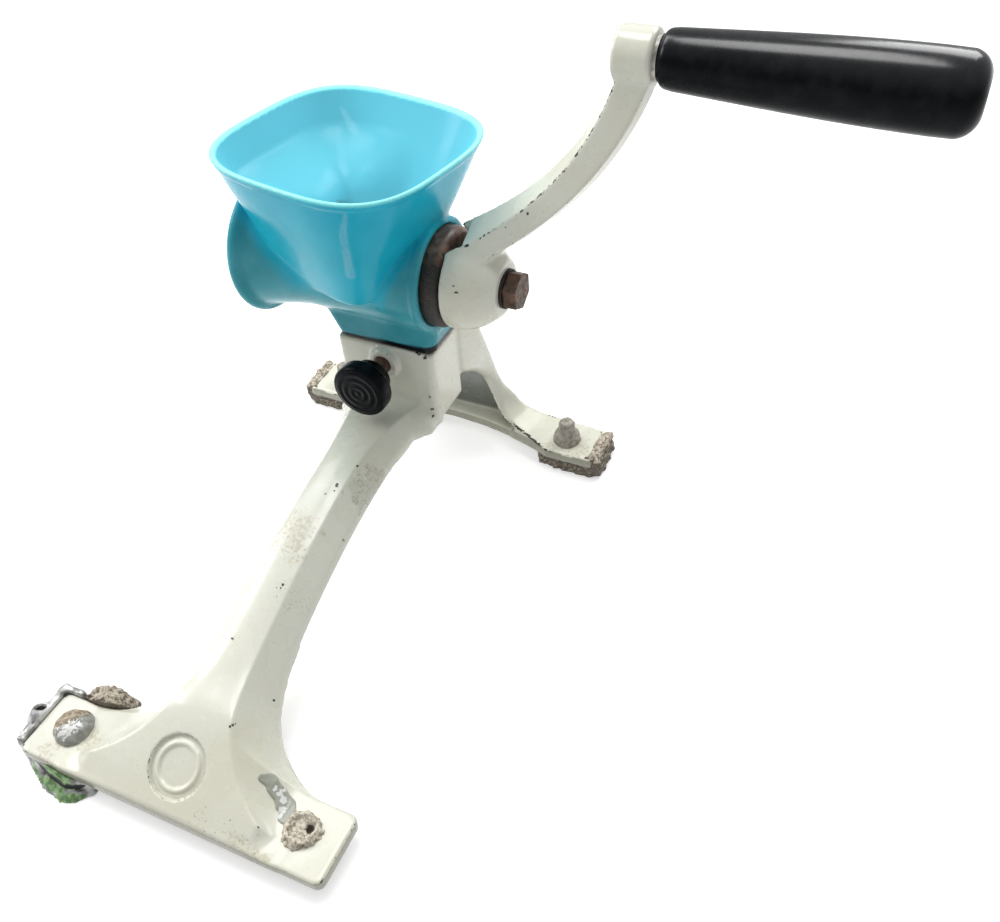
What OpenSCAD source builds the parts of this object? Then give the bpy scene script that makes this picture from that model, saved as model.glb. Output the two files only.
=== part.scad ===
// Hand-cranked bean slicer: a plastic hopper and barrel on a cast stand, with a drum turned by a crank.
// Lengths are millimetres. X runs along the barrel towards the crank, Y away from the front foot, Z up.
// Shapes are drawn about the stand's middle plane; on_foot() then puts the origin under the front left foot.

/* [Stand] */
// Length of the front foot bar
front_bar_l = 150; // [140:1:165]
// Depth of the front foot bar
front_bar_w = 30.3; // [28:0.1:34]
// Length of the rear foot bar
rear_bar_l = 178; // [168:1:190]
// Front edge of the rear foot bar
rear_bar_y = 251; // [248:0.5:254]
// Thickness of both foot bars
bar_t = 6; // [5:0.5:7]
// Height of the pads under the feet
pad_h = 7; // [5:0.5:9]
// Width of the head that holds the body
head_w = 51; // [49:0.5:53]
// Depth of the head
head_d = 27.6; // [27:0.1:29]
// Height of the head's top edge
head_top = 98.5; // [97:0.5:100]
// Half the width of the front leg at its narrowest
leg_half_w = 18.3; // [17:0.1:20]
// Radius of the sunk disc on the front foot
medallion_r = 12.9; // [11:0.1:14]
// Distance from the middle plane to the front bolts
front_bolt_x = 58; // [54:0.5:62]
// Distance from the middle plane to the rear bolts
rear_bolt_x = 69.5; // [66:0.5:74]

/* [Body] */
// Height of the barrel's axis
axis_z = 135.6; // [134:0.1:138]
// Left, open end of the barrel
barrel_left = -64; // [-70:0.5:-60]
// Right end of the barrel
barrel_right = 29; // [28:0.5:30]
// Radius of the flange round the open end
flange_r = 33.5; // [32.5:0.1:35]
// Radius of the barrel at its right end
barrel_r = 25.4; // [25:0.1:26]
// Half the width of the hopper's mouth, nearly along X
mouth_a = 53.2; // [46:0.1:56]
// Half the width of the hopper's mouth, nearly along Y
mouth_b = 47.3; // [44:0.1:52]
// Height of the hopper's rim
rim_z = 192.8; // [185:0.1:200]
// Thickness of the moulded walls
wall = 2.8; // [2.4:0.1:3.2]

/* [Clamp] */
// Height of the thumb screw's axis
clamp_z = 89.5; // [88:0.5:91]
// Radius of the thumb screw
screw_r = 3.95; // [3.4:0.05:4.2]
// Radius of the knob
knob_r = 13.6; // [12:0.1:15]

/* [Crank] */
// Radius from the barrel's axis to the grip's axis
crank_r = 101.6; // [95:0.1:105]
// Lean of the crank from upright, away from the front
crank_tilt = 9.9; // [0:0.1:20]
// Width of the hexagon head across its flats
hex_af = 15.2; // [13:0.1:16]
// Length of the grip
grip_l = 108; // [95:1:115]
// Largest radius of the grip
grip_r = 14.2; // [12:0.1:15]

/* [Drum] */
// Radius of the drum at its closed end
drum_r = 20.4; // [19:0.1:20.6]
// Number of slicing slots and blades
blade_count = 6; // [4:1:8]
// Radius of the spindle
spindle_r = 4.75; // [4:0.05:5]

/* [Hidden] */
$fn = 72;

cream = [0.89, 0.88, 0.81];
sky = [0.38, 0.72, 0.82];
putty_grey = [0.6, 0.57, 0.5];
steel = [0.62, 0.62, 0.6];
rust = [0.4, 0.28, 0.2];
black = [0.06, 0.06, 0.07];

// Radius of the front bar's corners
bar_round = 4;
// Gap between parts that move or lift past each other
free_gap = 0.3;
// Radial clearance of a running fit
run_gap = 0.05;
bar_top = pad_h + bar_t;
head_y = 205.4;
head_back = head_y + head_d;
head_low = 58;
axis_y = head_y + head_d / 2;
bolt_y = 17;
rear_bolt_y = rear_bar_y + 12;
bolt_hole_r = 3.4;
bolt_r = 3;

// Puts the origin on the bench, under the bolt of the front left foot
module on_foot() translate([front_bolt_x, -bolt_y, 0]) children();

// Turns a shape drawn round the Z axis so that it lies along X, on the barrel's axis
module on_axis(x = 0) translate([x, axis_y, axis_z]) rotate([0, 90, 0]) children();

// Puts children in the crank's own frame: X along the axis, Z towards the grip
module in_crank() translate([0, axis_y, axis_z]) rotate([-crank_tilt, 0, 0]) children();

// A flat plate with rounded corners, centred on X, from y0
module plate(w, d, r, h) linear_extrude(h) union() {
    translate([-w / 2 + r, 0]) square([w - 2 * r, d]);
    translate([-w / 2, r]) square([w, d - 2 * r]);
    for (x = [-w / 2 + r, w / 2 - r], y = [r, d - r]) translate([x, y]) circle(r);
}

// A solid through closed rings of points that all have the same even count; its ends are closed by strips
module loft(rings) {
    n = len(rings[0]);
    m = len(rings);
    last = (m - 1) * n;
    sides = [for (i = [0:m - 2], j = [0:n - 1], half = [0, 1])
        let (a = i * n + j, b = i * n + (j + 1) % n, c = (i + 1) * n + (j + 1) % n, d = (i + 1) * n + j)
        half == 0 ? [a, c, b] : [a, d, c]];
    ends = [for (j = [0:n / 2 - 2], half = [0, 1])
        let (a = j, b = j + 1, c = n - 2 - j, d = n - 1 - j) half == 0 ? [a, b, c] : [a, c, d]];
    real_ends = [for (e = ends) if (e[1] != e[2]) e];
    polyhedron([for (r = rings, p = r) p],
        concat(real_ends, sides, [for (e = real_ends) [last + e[0], last + e[2], last + e[1]]]));
}

// Front leg: a hood whose ridge, edge and width follow these functions of y
leg_start = 0.6;
leg_full = 34;
leg_end = head_y + 1.5;
leg_wall = 4.2;
function soft_min(a, b, k) = (a + b - sqrt((a - b) * (a - b) + k * k)) / 2;
function leg_edge_z(y) = bar_top - 1 + (y > leg_full ? 48.5 * sin(90 * (y - leg_full) / 156) : 0);
function leg_half(y) = min(head_w / 2 + 0.4, leg_half_w + 1.8 * pow(max(0, y - 145) / 45, 2) + 0.66 * max(0, y - 191))
    + min(35.7, 34 * exp(-(y - 31) / 13));
function leg_ridge_z(y) = soft_min(bar_top + 0.6 * y, leg_edge_z(y) + 9 + 14 * exp(-(y - 36) / 24), 3);
function leg_ridge_half(y) = min(42, 8.5 + 7 * exp(-(y - 36) / 17)) + 9 * pow(max(0, y - 150) / 55, 2);
function leg_slope(y) = 1 + 0.7 * exp(-pow((y - 10) / 30, 2));
function leg_top(x, y) = let (r = leg_ridge_half(y), w = leg_half(y), e = leg_edge_z(y), z = leg_ridge_z(y))
    abs(x) <= r ? z + 1.2 * (1 - pow(x / r, 2))
    : e + (z - e) * pow(max(0, w - abs(x)) / (w - r), leg_slope(y));
leg_marks = [-1, -0.75, -0.5, -0.25, 0];
function leg_xs(y) = let (r = leg_ridge_half(y), w = leg_half(y))
    concat([for (k = leg_marks) -(r - k * (w - r))], [-r / 2, 0, r / 2], [for (i = [4:-1:0]) r - leg_marks[i] * (w - r)]);
function leg_under(x, y) = y < leg_full - 2.5 ? bar_top - 4 : leg_top(x, y) - 1.2 * leg_wall;
function leg_inset(x, y) = let (w = leg_half(y)) x * (w - leg_wall * 0.75) / w;
function leg_ring(y) = let (xs = leg_xs(y)) concat(
    [for (x = xs) [x, y, leg_top(x, y)]],
    [for (i = [len(xs) - 1:-1:0]) let (x = leg_inset(xs[i], y)) [x, y, leg_under(x, y)]]);
leg_steps = [leg_start, 6, 12, 18, 24, 29, 31.4, 32, 35, 38, 42, 47, 53, 60, 68, 78, 90, 104, 120, 138, 156, 172,
    184, 191, 199, leg_end];

// Rear leg: level slices whose half width, front edge and back follow these functions of height
rear_bar_w = 26;
rear_bar_back = rear_bar_y + rear_bar_w;
rear_arch_z = 69.6;
function rear_half(z) = min(rear_bar_l / 2 - 3, 26.2 + 112 / (z - pad_h - 3) * exp(-pow((z - bar_top) / 22, 2)));
rear_waist_set = 13.4;
rear_waist_y = rear_bar_y + rear_waist_set;
rear_waist_z = 30;
function rear_front(z) = z > rear_arch_z ? head_back - 2
    : z > rear_waist_z ? rear_waist_y - (rear_waist_y - head_back + 0.6)
        * pow((z - rear_waist_z) / (rear_arch_z - rear_waist_z), 2.05)
    : max(rear_bar_y + 0.2, rear_waist_y - rear_waist_set * pow((rear_waist_z - z) / (rear_waist_z - bar_top), 2.2));
function rear_back(z) = rear_bar_back - (rear_bar_back - head_back) * 0.568 * pow(max(0, z - bar_top) / 70, 1.2);
function rear_spread(z) = 3.3 * min(1, max(0, z - bar_top) / 4) + 2.8 * exp(-pow((z - 27) / 6, 2));
rear_wall = 4.5;
function rear_ring(z) = let (w = rear_half(z), v = w + rear_spread(z), f = rear_front(z), b = rear_back(z), c = 2)
    [[-w, f, z], [w, f, z], [v, b - c, z], [v - c, b, z], [-v + c, b, z], [-v, b - c, z]];
function rear_hollow_ring(z) = let (w = min(rear_half(z), 44) - rear_wall, b = rear_back(z) - rear_wall)
    let (f = head_back - 8) [[-w, f, z], [w, f, z], [w, b, z], [-w, b, z]];
rear_steps = [11.8, 12.4, 13.2, 14.2, 15.6, 17.4, 19.6, 22.5, 26, 30, 36, 43, 51, 58, 64, 67.5, rear_arch_z,
    rear_arch_z + 0.6, 78, 88, head_top];
rear_hollow_steps = [bar_top - 2, 15, 17.5, 21, 26, 34, 44, 54, 63, 70];

// Rear foot bar, before its front edge is set back in the middle
rear_bar_set = 12;
rear_bar_round = 4;
module rear_bar() translate([0, rear_bar_y, pad_h]) plate(rear_bar_l, rear_bar_w, rear_bar_round, bar_t);
// What is cut from the rear bar's front edge and from the foot of the rear leg
module rear_set() translate([0, 0, pad_h - 1]) linear_extrude(bar_t + 6)
    polygon(concat([[-64, rear_bar_y - 1]],
        [for (x = [-62:4:62]) [x, rear_bar_y + rear_bar_set * pow(cos(90 * x / 62), 0.8)]], [[64, rear_bar_y - 1]]));

socket_y0 = head_y + 3.4;
socket_y1 = head_back - 3.2;
socket_w = 42.8;
socket_floor = 74;
module socket(gap, z0, z1) translate([0, socket_y0 + gap, z0])
    plate(socket_w - 2 * gap, socket_y1 - socket_y0 - 2 * gap, 3, z1 - z0);

clamp_boss_r = 8;
clamp_boss_h = 4;
module stand() on_foot() color(cream) difference() {
    union() {
        translate([0, 0, pad_h]) plate(front_bar_l, front_bar_w, bar_round, bar_t);
        loft([for (y = leg_steps) leg_ring(y)]);
        translate([0, head_y, head_low]) plate(head_w, head_d, 2.5, head_top - head_low);
        difference() {
            union() {
                rear_bar();
                difference() {
                    loft([for (z = rear_steps) rear_ring(z)]);
                    loft([for (z = rear_hollow_steps) rear_hollow_ring(z)]);
                }
            }
            rear_set();
        }
        translate([0, head_y + 1, clamp_z]) rotate([90, 0, 0]) cylinder(h = clamp_boss_h + 1, r = clamp_boss_r);
    }
    socket(0, socket_floor, head_top + 1);
    translate([0, head_y + 4, head_low - 1]) plate(head_w - 8, head_d - 8, 3, socket_floor - head_low - 3);
    translate([0, socket_y0 + 1, clamp_z]) rotate([90, 0, 0]) cylinder(h = 12, r = screw_r + run_gap);
    for (x = [-1, 1]) {
        translate([x * front_bolt_x, bolt_y, pad_h - 1]) cylinder(h = bar_t + 9, r = bolt_hole_r);
        translate([x * rear_bolt_x, rear_bolt_y, pad_h - 1]) cylinder(h = bar_t + 9, r = bolt_hole_r);
    }
    medallion_recess();
}

// Sunk disc on the sloping front of the foot, with a plain raised ring in it
medallion_y = 15.8;
medallion_z = leg_ridge_z(medallion_y) + 1.2;
medallion_slope = 31;
module medallion_recess() translate([0, medallion_y, medallion_z]) rotate([medallion_slope, 0, 0])
    difference() {
        translate([0, 0, -1.5]) cylinder(h = 8, r = medallion_r);
        translate([0, 0, -2]) difference() {
            cylinder(h = 1.1, r = medallion_r - 3);
            translate([0, 0, -1]) cylinder(h = 3, r = medallion_r - 4.2);
        }
    }

nut_h = 4;
module dome(r, h) rotate_extrude() polygon(concat([[0, 0]], [for (a = [0:15:90]) [r * cos(a), h * sin(a)]]));
module bolt(r, h) {
    translate([0, 0, bar_top]) dome(r, h);
    translate([0, 0, 1.2]) cylinder(h = bar_top - 1, r = bolt_r);
}
module front_bolt() on_foot() color(steel) translate([-front_bolt_x, bolt_y, 0]) bolt(7.2, 5.5);
module rear_bolts() on_foot() color(steel)
    for (x = [-1, 1]) translate([x * rear_bolt_x, rear_bolt_y, 0]) bolt(5.6, 7);
module nut_places() {
    translate([-front_bolt_x, bolt_y, 0]) children();
    for (x = [-1, 1]) translate([x * rear_bolt_x, rear_bolt_y, 0]) children();
}
module foot_nuts() on_foot() color(steel) nut_places() difference() {
    translate([0, 0, pad_h - nut_h]) cylinder(h = nut_h, r = 5.8, $fn = 6);
    cylinder(h = 20, r = bolt_r);
}
module nut_room() nut_places() {
    translate([0, 0, pad_h - nut_h]) cylinder(h = nut_h + 1, r = 5.8, $fn = 6);
    translate([0, 0, 1.2]) cylinder(h = 10, r = bolt_r);
}

// Lumps of hardened putty under the feet, each with the same level bottom
module lump(w, d, h) hull() {
    translate([-w / 2, -d / 2, 0]) translate([4, 4, 0]) cylinder(h = h * 0.6, r = 4, $fn = 32);
    translate([w / 2 - 5, -d / 2 + 5, 0]) cylinder(h = h, r = 4.5, $fn = 32);
    translate([w / 2 - 6, d / 2 - 6, 0]) cylinder(h = h * 0.8, r = 5, $fn = 32);
    translate([-w / 2 + 7, d / 2 - 7, 0]) cylinder(h = h, r = 6, $fn = 32);
}
module front_left_pad() on_foot() color(putty_grey) difference() {
    union() {
        translate([-front_bolt_x - 3, front_bar_w / 2 - 1.6, 0]) lump(44, front_bar_w + 16, pad_h);
        translate([-front_bolt_x + 6, front_bar_w + 2.7, 0]) lump(24, 12, bar_top + 2);
        translate([-front_bar_l / 2 - 2, 12, 0]) lump(11, 26, bar_top - 2);
    }
    translate([0, 0, pad_h]) plate(front_bar_l, front_bar_w, bar_round, bar_t + 9);
    translate([0, 0, pad_h - 1]) linear_extrude(bar_t + 9) leg_plan();
    nut_room();
}
// The front leg's outline on the bench, a little wide, from inside the bar to just past the lumps
module leg_plan() polygon(concat([[0, front_bar_w - 10]],
    [for (y = [front_bar_w - 10:3:front_bar_w + 20]) [-leg_half(y) - free_gap, y]], [[0, front_bar_w + 20]]));
module front_right_pad() on_foot() color(putty_grey) translate([front_bolt_x, bolt_y + 2, 0]) lump(20, 17, pad_h);
module rear_pads() on_foot() color(putty_grey) difference() {
    for (x = [-1, 1]) translate([x * (rear_bolt_x + 3), rear_bar_y + rear_bar_w / 2 + 2.5, 0])
        lump(37, rear_bar_w + 4, pad_h);
    nut_room();
}
module putty_plug() on_foot() color(putty_grey) translate([front_bolt_x, bolt_y, 0]) {
    translate([0, 0, bar_top]) dome(8.6, 3.6);
    translate([0, 0, pad_h]) cylinder(h = bar_t + 1, r = bolt_hole_r);
}

// Hopper: level rings that run from a rounded square mouth to a toe that stands proud of the barrel. The rings are
// turned about the upright, the lower ones more, and their middles drift
hopper_x = -9.8;
toe_z = 134;
toe_a = 29;
toe_b = 23.4;
toe_n = 4.6;
toe_turn = -18.9;
toe_mid = [hopper_x - 5.6, axis_y - 4.1];
mouth_n = 3.2;
mouth_turn = -10.2;
mouth_mid = [hopper_x - 2, axis_y + 1.8];
function between(a, b, t) = a + (b - a) * t;
function rise(z) = (z - toe_z) / (rim_z - toe_z);
function super(c, n) = sign(c) * pow(abs(c), 2 / n);
function hopper_ring(z, inset, steps = 48) = let (t = rise(z), n = between(toe_n, mouth_n, max(0, t)),
    a = between(toe_a, mouth_a, t) - inset, b = between(toe_b, mouth_b, t) - inset,
    mid = between(toe_mid, mouth_mid, t), turn = between(toe_turn, mouth_turn, t))
    [for (i = [0:steps - 1]) let (v = 360 * (i + 0.5) / steps, p = a * super(cos(v), n), q = b * super(sin(v), n))
        [mid[0] + p * cos(turn) - q * sin(turn), mid[1] + p * sin(turn) + q * cos(turn), z]];
lip = 0.5;
rim_wall = 2;
module hopper_outer() loft([hopper_ring(toe_z - 2.2, 4), hopper_ring(toe_z - 1.6, 1.8), hopper_ring(toe_z, 0.3),
    hopper_ring(toe_z + 1.5, 0), hopper_ring(150, 0), hopper_ring(168, 0), hopper_ring(rim_z - 4, 0),
    hopper_ring(rim_z - 3.2, -lip), hopper_ring(rim_z - 0.7, -lip), hopper_ring(rim_z, 0)]);
throat_z = toe_z + 3.5;
module hopper_inner() loft([hopper_ring(throat_z, wall), hopper_ring(165, wall),
    hopper_ring(rim_z - 0.8, rim_wall), hopper_ring(rim_z + 0.4, rim_wall - 0.8)]);

// Barrel: turned outline, as points out from the axis and along X; its skin flares towards the flange
lip_r = 2.6;
flare_start = barrel_left + 6;
flare_l = 26;
flare_h = 4.4;
function barrel_skin(k) = barrel_r + flare_h * pow(1 - k, 1.5);
function arc(cx, cr, r, a0, a1, n = 6) = [for (i = [0:n]) let (a = between(a0, a1, i / n))
    [cr + r * sin(a), cx + r * cos(a)]];
module barrel_outer() rotate_extrude() polygon(concat([[0, barrel_left + 1], [27, barrel_left]],
    arc(barrel_left + lip_r, flange_r - lip_r, lip_r, 180, 10),
    [for (k = [0:0.125:1]) [barrel_skin(k), flare_start + k * flare_l]],
    [[barrel_r, barrel_right - 4], [barrel_r + 0.5, barrel_right - 3], [barrel_r + 0.5, barrel_right - 1],
        [barrel_r - 0.4, barrel_right], [0, barrel_right]]));
bore_end = 18.5;
ring_seat = 23.5;
ring_r = 22.6;
bore_r0 = 24.6;
bore_r1 = 21.9;
bush_r = 7.2;
module barrel_hollow() {
    translate([0, 0, barrel_left - 1]) cylinder(h = 3, r1 = bore_r0 + 3, r2 = bore_r0);
    translate([0, 0, barrel_left + 1]) cylinder(h = bore_end - barrel_left - 1, r1 = bore_r0, r2 = bore_r1);
    translate([0, 0, bore_end - 1]) cylinder(h = 10, r = bush_r);
    translate([0, 0, ring_seat]) cylinder(h = 10, r = ring_r);
}

// Pedestal between the barrel and the head, and the spigot that drops into the head's socket
neck_low = head_top + 0.6;
module neck() hull() {
    translate([0.9, head_y + 0.2, neck_low]) plate(head_w, head_d - 0.4, 6, 1, $fn = 32);
    translate([-3, head_y + 0.2, 121]) plate(64, head_d - 0.4, 6, 1, $fn = 32);
}
spigot_low = socket_floor + 0.5;
shoe_y = 212.2;
shoe_t = 2.3;
shoe_r = 6.5;
groove_y = shoe_y + shoe_t + free_gap;
module spigot() difference() {
    socket(free_gap, spigot_low, neck_low + 4);
    translate([-8, socket_y0, spigot_low - 1]) cube([16, groove_y - socket_y0, clamp_z + 8 - spigot_low]);
}
module housing() on_foot() color(sky) difference() {
    union() {
        difference() {
            union() {
                hopper_outer();
                on_axis() barrel_outer();
                neck();
            }
            hopper_inner();
        }
        spigot();
    }
    on_axis() barrel_hollow();
}

module tube(r_out, r_in, x0, x1) on_axis() translate([0, 0, x0]) difference() {
    cylinder(h = x1 - x0, r = r_out);
    translate([0, 0, -1]) cylinder(h = x1 - x0 + 2, r = r_in);
}
module spindle_bush() on_foot() color([0.72, 0.56, 0.3])
    tube(bush_r, spindle_r + run_gap, bore_end - 1, ring_seat);
ring_end = 36.6;
ring_round = 3.4;
module bearing_ring() on_foot() color(rust) on_axis() rotate_extrude()
    polygon(concat([[spindle_r + 0.4, ring_seat], [ring_r, ring_seat]],
        arc(ring_end - ring_round, ring_r - ring_round, ring_round, 90, 0), [[spindle_r + 0.4, ring_end]]));

// Clamp: the screw and its knob turn in a shoe that slides with them
module along_y(y0, h, r) translate([0, y0 + h, clamp_z]) rotate([90, 0, 0]) cylinder(h = h, r = r);
tip_r = 2;
module clamp_shoe() on_foot() color(steel) difference() {
    along_y(shoe_y, shoe_t, shoe_r);
    along_y(shoe_y - 1, 2.5, tip_r + run_gap);
}
knob_face = 179.2;
knob_h = 9;
collar_end = 194;
module thumb_screw() on_foot() color(rust) {
    along_y(knob_face + 4, shoe_y - 0.2 - knob_face - 4, screw_r);
    along_y(shoe_y - 1, 2.2, tip_r);
}
module thumb_knob() on_foot() color(black) translate([0, knob_face, clamp_z]) rotate([-90, 0, 0])
    difference() {
        rotate_extrude() polygon([[0, 0], [2, 0], [2, 0.5], [4, 0.5], [4, 0], [6, 0], [6, 0.5], [8, 0.5], [8, 0],
            [10, 0], [10, 0.5], [12, 0.8], [knob_r - 0.4, 1.4], [knob_r, 2.6], [knob_r, knob_h - 1.4],
            [knob_r - 1.6, knob_h], [9.8, knob_h + 1.2], [9, collar_end - knob_face], [0, collar_end - knob_face]]);
        translate([0, 0, 4]) cylinder(h = 20, r = screw_r);
    }

// Drum: a tinned shell with slots along it; a blade is riveted in behind each slot and rises out of it
drum_left = -56;
drum_right = 13;
drum_flare = 1;
shell_t = 1;
function drum_at(x) = drum_r + drum_flare * (drum_right - x) / (drum_right - drum_left);
drum_lean = atan(drum_flare / (drum_right - drum_left));
slot_x0 = drum_left + 9;
slot_x1 = drum_right - 7;
slot_w = 4.2;
slot_shift = 0.3;
blade_t = 0.8;
blade_foot_w = 5.2;
blade_tip_w = 3.9;
blade_rise = 34;
foot_turn = 13;
rivet_r = 0.95;
rivet_head_r = 1.6;
rivet_head_t = 0.5;
rivet_xs = [slot_x0 + 6, slot_x1 - 6];
// Children of each_blade stand on the shell's inner face, X along the cone, at each slot or turned past it
module each_blade(turn = 0) for (i = [0:blade_count - 1]) translate([0, axis_y, axis_z])
    rotate([i * 360 / blade_count - turn, 0, 0]) translate([0, 0, drum_at(0) - shell_t])
        rotate([0, drum_lean, 0]) children();
module rivet_holes() each_blade(foot_turn)
    for (x = rivet_xs) translate([x, 0, -3]) cylinder(h = 8, r = rivet_r + run_gap);
module drum_shell() on_foot() color(steel) difference() {
    on_axis() union() {
        translate([0, 0, drum_left]) cylinder(h = drum_right - drum_left, r1 = drum_r + drum_flare, r2 = drum_r);
        translate([0, 0, drum_left]) cylinder(h = 1.2, r = drum_r + drum_flare + 0.5);
    }
    on_axis() translate([0, 0, drum_left - 1])
        cylinder(h = drum_right - drum_left + 2, r1 = drum_r + drum_flare - shell_t, r2 = drum_r - shell_t);
    each_blade() translate([slot_x0, slot_shift - slot_w / 2, -4]) cube([slot_x1 - slot_x0, slot_w, 12]);
    rivet_holes();
}
module slicing_blades() on_foot() color([0.75, 0.75, 0.74]) difference() {
    union() {
        each_blade(foot_turn) translate([slot_x0, -blade_foot_w / 2, -free_gap - blade_t])
            cube([slot_x1 - slot_x0, blade_foot_w, blade_t]);
        each_blade() translate([slot_x0, 1.9, -1]) rotate([-blade_rise, 0, 0]) translate([0, -blade_tip_w, 0])
            cube([slot_x1 - slot_x0, blade_tip_w + 0.5, blade_t]);
    }
    rivet_holes();
}
module blade_rivets() on_foot() color(steel) each_blade(foot_turn) for (x = rivet_xs) translate([x, 0, 0]) {
    translate([0, 0, -free_gap - blade_t - rivet_head_t]) {
        cylinder(h = free_gap + blade_t + shell_t + 2 * rivet_head_t, r = rivet_r);
        cylinder(h = rivet_head_t, r = rivet_head_r);
    }
    translate([0, 0, shell_t]) cylinder(h = rivet_head_t, r = rivet_head_r);
}
plate_t = 2;
module drum_end_plate() on_foot() color(steel) on_axis() translate([0, 0, drum_right - plate_t - 0.5])
    difference() {
        union() {
            cylinder(h = plate_t, r = drum_r - shell_t);
            translate([0, 0, plate_t]) cylinder(h = 2.3, r = 8.5);
        }
        translate([0, 0, -1]) cylinder(h = 9, r = spindle_r);
    }
module drum_nut() on_foot() color(steel) on_axis() translate([0, 0, drum_right - plate_t - 0.5 - 6])
    difference() {
        cylinder(h = 6, r = 8.6, $fn = 6);
        translate([0, 0, -1]) cylinder(h = 9, r = spindle_r);
    }

// Spindle: round through the bush, square in the crank's hub
hub_x0 = 37.2;
hub_x1 = 59.6;
square_w = 7;
module spindle() on_foot() color(steel) difference() {
    union() {
        on_axis(0) cylinder(h = hub_x0, r = spindle_r);
        in_crank() translate([hub_x0 - 1, -square_w / 2, -square_w / 2]) cube([hub_x1 - hub_x0, square_w, square_w]);
    }
    on_axis(hub_x1 - 14) cylinder(h = 15, r = 2.5);
}

// Crank: a tapering hub, an arm that bends outwards and a boss for the grip
hub_r = 21.6;
hub_end_r = 12;
hub_full = hub_x0 + 3.8;
function hub_skin(k) = [hub_r - (hub_r - hub_end_r) * k * k, between(hub_full, hub_x1, k)];
boss_x0 = 101.5;
boss_x1 = 116.7;
boss_r = 10.4;
arm_from = [36.6, 14.6];
arm_bend0 = [63, 29.4];
arm_bend1 = [98.6, 54];
arm_to = [111.4, crank_r - 2];
function bezier(t) = let (s = 1 - t)
    s * s * s * arm_from + 3 * s * s * t * arm_bend0 + 3 * s * t * t * arm_bend1 + t * t * t * arm_to;
function bezier_way(t) = let (d = bezier(t + 0.01) - bezier(t - 0.01)) d / norm(d);
// The arm's six-sided section: widest at its middle plane, its left faces leaning in more towards the hub
function arm_width(t) = 15.1 + 4.1 * pow(1 - t, 2);
function arm_depth(t) = 14 + 10.9 * pow(1 - t, 3);
function arm_inset(t) = 1.4 + 7.5 * (1 - t);
arm_right_inset = 1.3;
arm_ease = 0.8;
function arm_section(w, d, inset) = let (r = w / 2 - arm_right_inset, l = inset - w / 2, b = d / 2, e = arm_ease)
    [[w / 2, 0], [r, b - e], [r - e, b], [l + e, b], [l, b - e],
        [-w / 2, 0], [l, e - b], [l + e, -b], [r - e, -b], [r, e - b]];
function arm_ring(t) = let (c = bezier(t), u = bezier_way(t))
    [for (p = arm_section(arm_width(t), arm_depth(t), arm_inset(t)))
        [min(boss_x1 - 0.4, max(hub_x0 + 0.3, c[0] + u[1] * p[0])), p[1], c[1] - u[0] * p[0]]];
arm_steps = 16;
// Pocket in the hub's open end, behind its front wall, and the slope that the wall's top is cut to
pocket_front = -10.5;
pocket_back = 9.5;
module hub_pocket() {
    rotate([90, 0, 0]) translate([0, 0, -pocket_back]) linear_extrude(pocket_back - pocket_front)
        polygon([[hub_x0 - 1, 8], [43, 8], [44.5, 19.5], [38.7, 24.8], [37.9, 32], [hub_x0 - 1, 32]]);
    rotate([90, 0, 0]) linear_extrude(hub_r + 2)
        polygon([[hub_x0 - 1, 16.1], [43.2, 20.5], [43.2, 24], [hub_x0 - 1, 24]]);
}
module crank_arm() on_foot() color(cream) in_crank() difference() {
    union() {
        rotate([0, 90, 0]) rotate_extrude() polygon(concat([[0, hub_x0], [hub_r - 1, hub_x0], [hub_r, hub_x0 + 1]],
            [for (k = [0:0.125:1]) hub_skin(k)], [[0, hub_x1]]));
        loft([for (i = [0:arm_steps]) arm_ring(i / arm_steps)]);
        translate([boss_x0, 0, crank_r]) rotate([0, 90, 0]) cylinder(h = boss_x1 - boss_x0, r = boss_r);
    }
    hub_pocket();
    translate([hub_x0 - 1, -square_w / 2, -square_w / 2]) cube([hub_x1 - hub_x0 + 2, square_w, square_w]);
    translate([boss_x0 - 1, 0, crank_r]) rotate([0, 90, 0]) cylinder(h = 30, r = pin_r);
}
washer_t = 1.4;
bolt_x = hub_x1 + washer_t;
module crank_washer() on_foot() color(steel) tube(8.8, 2.8, hub_x1, bolt_x);
module crank_bolt() on_foot() color(rust) in_crank() rotate([0, 90, 0]) {
    intersection() {
        translate([0, 0, bolt_x]) cylinder(h = 6.2, r = hex_af / sqrt(3), $fn = 6);
        translate([0, 0, bolt_x - 8]) cylinder(h = 8 + 6.2, r1 = 17, r2 = hex_af / 2 - 0.3);
    }
    translate([0, 0, hub_x1 - 12]) cylinder(h = 12 + washer_t + 0.2, r = 2.5);
}

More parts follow.
